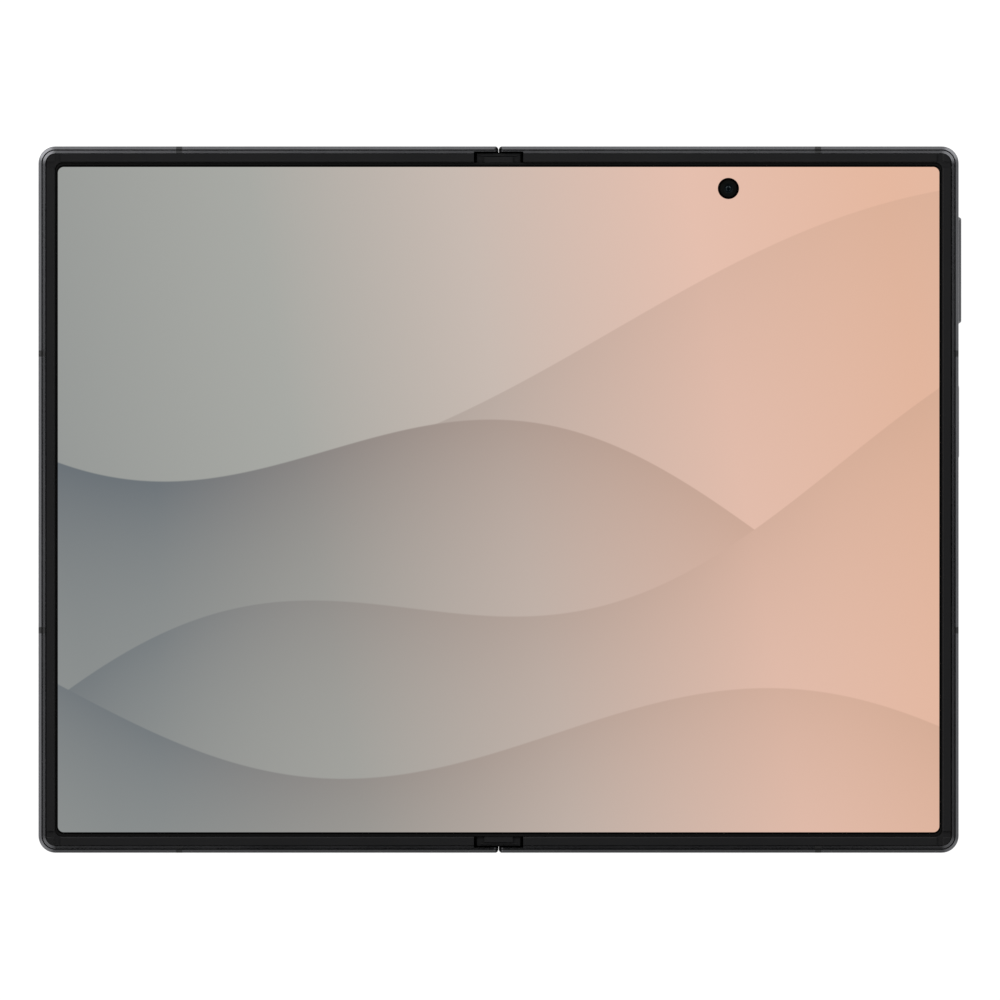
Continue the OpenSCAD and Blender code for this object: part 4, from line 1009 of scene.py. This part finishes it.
def make_deck():
    """The camera deck: a long island with round ends, a rounded rim and a hole for each barrel."""
    low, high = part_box("camera_deck")
    radius = (high.x - low.x) / 2
    bm = bmesh.new()
    outline = []
    for end_y, start in ((high.y - radius, 0.0), (low.y + radius, math.pi)):
        for step in range(DECK_STEPS + 1):
            angle = start + math.pi * step / DECK_STEPS
            outline.append(bm.verts.new((low.x + radius + radius * math.cos(angle),
                                         end_y + radius * math.sin(angle), low.z)))
    grown = bmesh.ops.extrude_face_region(bm, geom=[bm.faces.new(outline)])["geom"]
    raised = [v for v in grown if isinstance(v, bmesh.types.BMVert)]
    bmesh.ops.translate(bm, verts=raised, vec=(0.0, 0.0, high.z - low.z))
    outward(bm)
    rim = [e for e in bm.edges if all(v.co.z < low.z + HAIR for v in e.verts)]
    bmesh.ops.bevel(bm, geom=rim, affect="EDGES", offset=DECK_ROUND, segments=6, profile=0.5, material=-1)
    piece = make_piece("camera_deck_round", bm, MATERIALS["back_glass"])
    for lens_low, lens_high in LENS_BOXES:
        drill(piece, (lens_low + lens_high) / 2, BARREL_HOLE_R, low.z - MM, high.z + MM, 96)
    stand_in(piece, "camera_deck")


# ---------------------------------------------------------------------------------------
# Studio
# ---------------------------------------------------------------------------------------

VIEW_WIDTH = 175.33 * MM
VIEW_CENTRE = Vector((0.25 * MM, -0.07 * MM, SCREEN_TOP))
LENS = 200.0
SENSOR = 36.0


def make_camera():
    """A camera straight above the open phone."""
    data = bpy.data.cameras.new("camera")
    data.lens = LENS
    data.sensor_width = SENSOR
    data.clip_start = 0.01
    data.clip_end = 50.0
    camera = bpy.data.objects.new("camera", data)
    camera.location = VIEW_CENTRE + Vector((0, 0, VIEW_WIDTH * LENS / SENSOR))
    bpy.context.scene.collection.objects.link(camera)
    bpy.context.scene.camera = camera


def make_light(name, place, size, power, tone=(1.0, 1.0, 1.0)):
    """A soft rectangular light that faces the phone."""
    data = bpy.data.lights.new(name, "AREA")
    data.shape = "RECTANGLE"
    data.size, data.size_y = size
    data.energy = power
    data.color = tone
    lamp = bpy.data.objects.new(name, data)
    lamp.location = place
    lamp.rotation_mode = "QUATERNION"
    lamp.rotation_quaternion = (-Vector(place)).to_track_quat("-Z", "Y")
    bpy.context.scene.collection.objects.link(lamp)


FLOOR_REACH = 6.0


def make_floor():
    """A wide sheet of white paper with a glow of its own, which keeps the phone's edges clear."""
    bm = bmesh.new()
    bmesh.ops.create_grid(bm, x_segments=1, y_segments=1, size=FLOOR_REACH)
    made, net, skin = new_material("paper", Specular_IOR_Level=0.0, Emission_Strength=0.98)
    fibre = net.noise(net.place(), 0.4, 4.0)
    net.put(skin["Base Color"], net.mix(fibre, grey(0.14), grey(0.16)))
    net.put(skin["Roughness"], net.span(fibre, 0.3, 0.7, 0.8, 0.9))
    net.put(skin["Emission Color"], grey(1.0))
    make_piece("paper_floor", bm, made)


# Glow of the room: plain share, and shares toward the back, the right, and the sides over the ends;
# then how it changes with height
LOW_GLOW = (0.98, 0.41, -0.21, 0.13)
LOW_BAND = [(0.0, 0.4), (0.2, 0.8), (0.38, 1.0), (0.47, 0.8), (0.57, 0.06), (0.64, 0.0)]
HIGH_GLOW = (0.124, 0.146, -0.102, 0.0)
HIGH_BAND = [(0.0, 0.0), (0.54, 0.1), (0.66, 1.0), (0.78, 1.0), (0.90, 0.12), (1.0, 0.05)]


def make_sky():
    """A room that glows low down, most at the back left, and is dark overhead."""
    world = bpy.data.worlds.new("studio")
    world.use_nodes = True
    net = Net(world.node_tree)
    place = net.node("ShaderNodeTexCoord").outputs["Generated"]
    level = net.vector("NORMALIZE", net.vector("MULTIPLY", place, (1.0, 1.0, 0.0)))
    right, back, _ = net.parts(level)
    height = net.parts(place)[2]
    sideways = net.math("MULTIPLY_ADD", net.math("MULTIPLY", right, right), 2.0, -1.0)
    seen = None
    for (plain, backward, rightward, sided), stops in ((LOW_GLOW, LOW_BAND), (HIGH_GLOW, HIGH_BAND)):
        share = net.math("MULTIPLY_ADD", back, backward, net.math("MULTIPLY_ADD", right, rightward, plain))
        share = net.math("MULTIPLY_ADD", sideways, sided, share)
        band = net.ramp(height, [(stop, grey(value)) for stop, value in stops])
        glow = net.math("MULTIPLY", net.math("MAXIMUM", share, 0.0), band)
        seen = glow if seen is None else net.math("ADD", seen, glow)
    surface = world.node_tree.nodes["Background"]
    net.put(surface.inputs["Color"], net.join(seen, seen, seen))
    surface.inputs["Strength"].default_value = 1.0
    bpy.context.scene.world = world


# Soft lights at the four corners of the table: place across and along, and power
CORNER_LIGHTS = [
    ("light_back_left", -1, 1, 4.4),
    ("light_back_right", 1, 1, 3.2),
    ("light_front_left", -1, -1, 1.5),
    ("light_front_right", 1, -1, 1.2),
]


LIGHT_REACH = 0.62
LIGHT_HEIGHT = 0.45
LIGHT_SIZE = (0.85, 0.7)


def make_studio():
    """The camera, the floor, the room and a soft light over each corner."""
    make_camera()
    make_floor()
    make_sky()
    for name, across, along, power in CORNER_LIGHTS:
        make_light(name, (LIGHT_REACH * across, LIGHT_REACH * along, LIGHT_HEIGHT), LIGHT_SIZE, power)
    bpy.context.scene.view_settings.view_transform = "Standard"
    bpy.context.scene.view_settings.look = "None"


dress_nodes()
make_screen()
make_soft_copies()
make_deck()
make_key("volume_rocker")
make_key("power_key")
make_camera_optics()
make_port_contacts()
make_speaker_mesh()
make_studio()
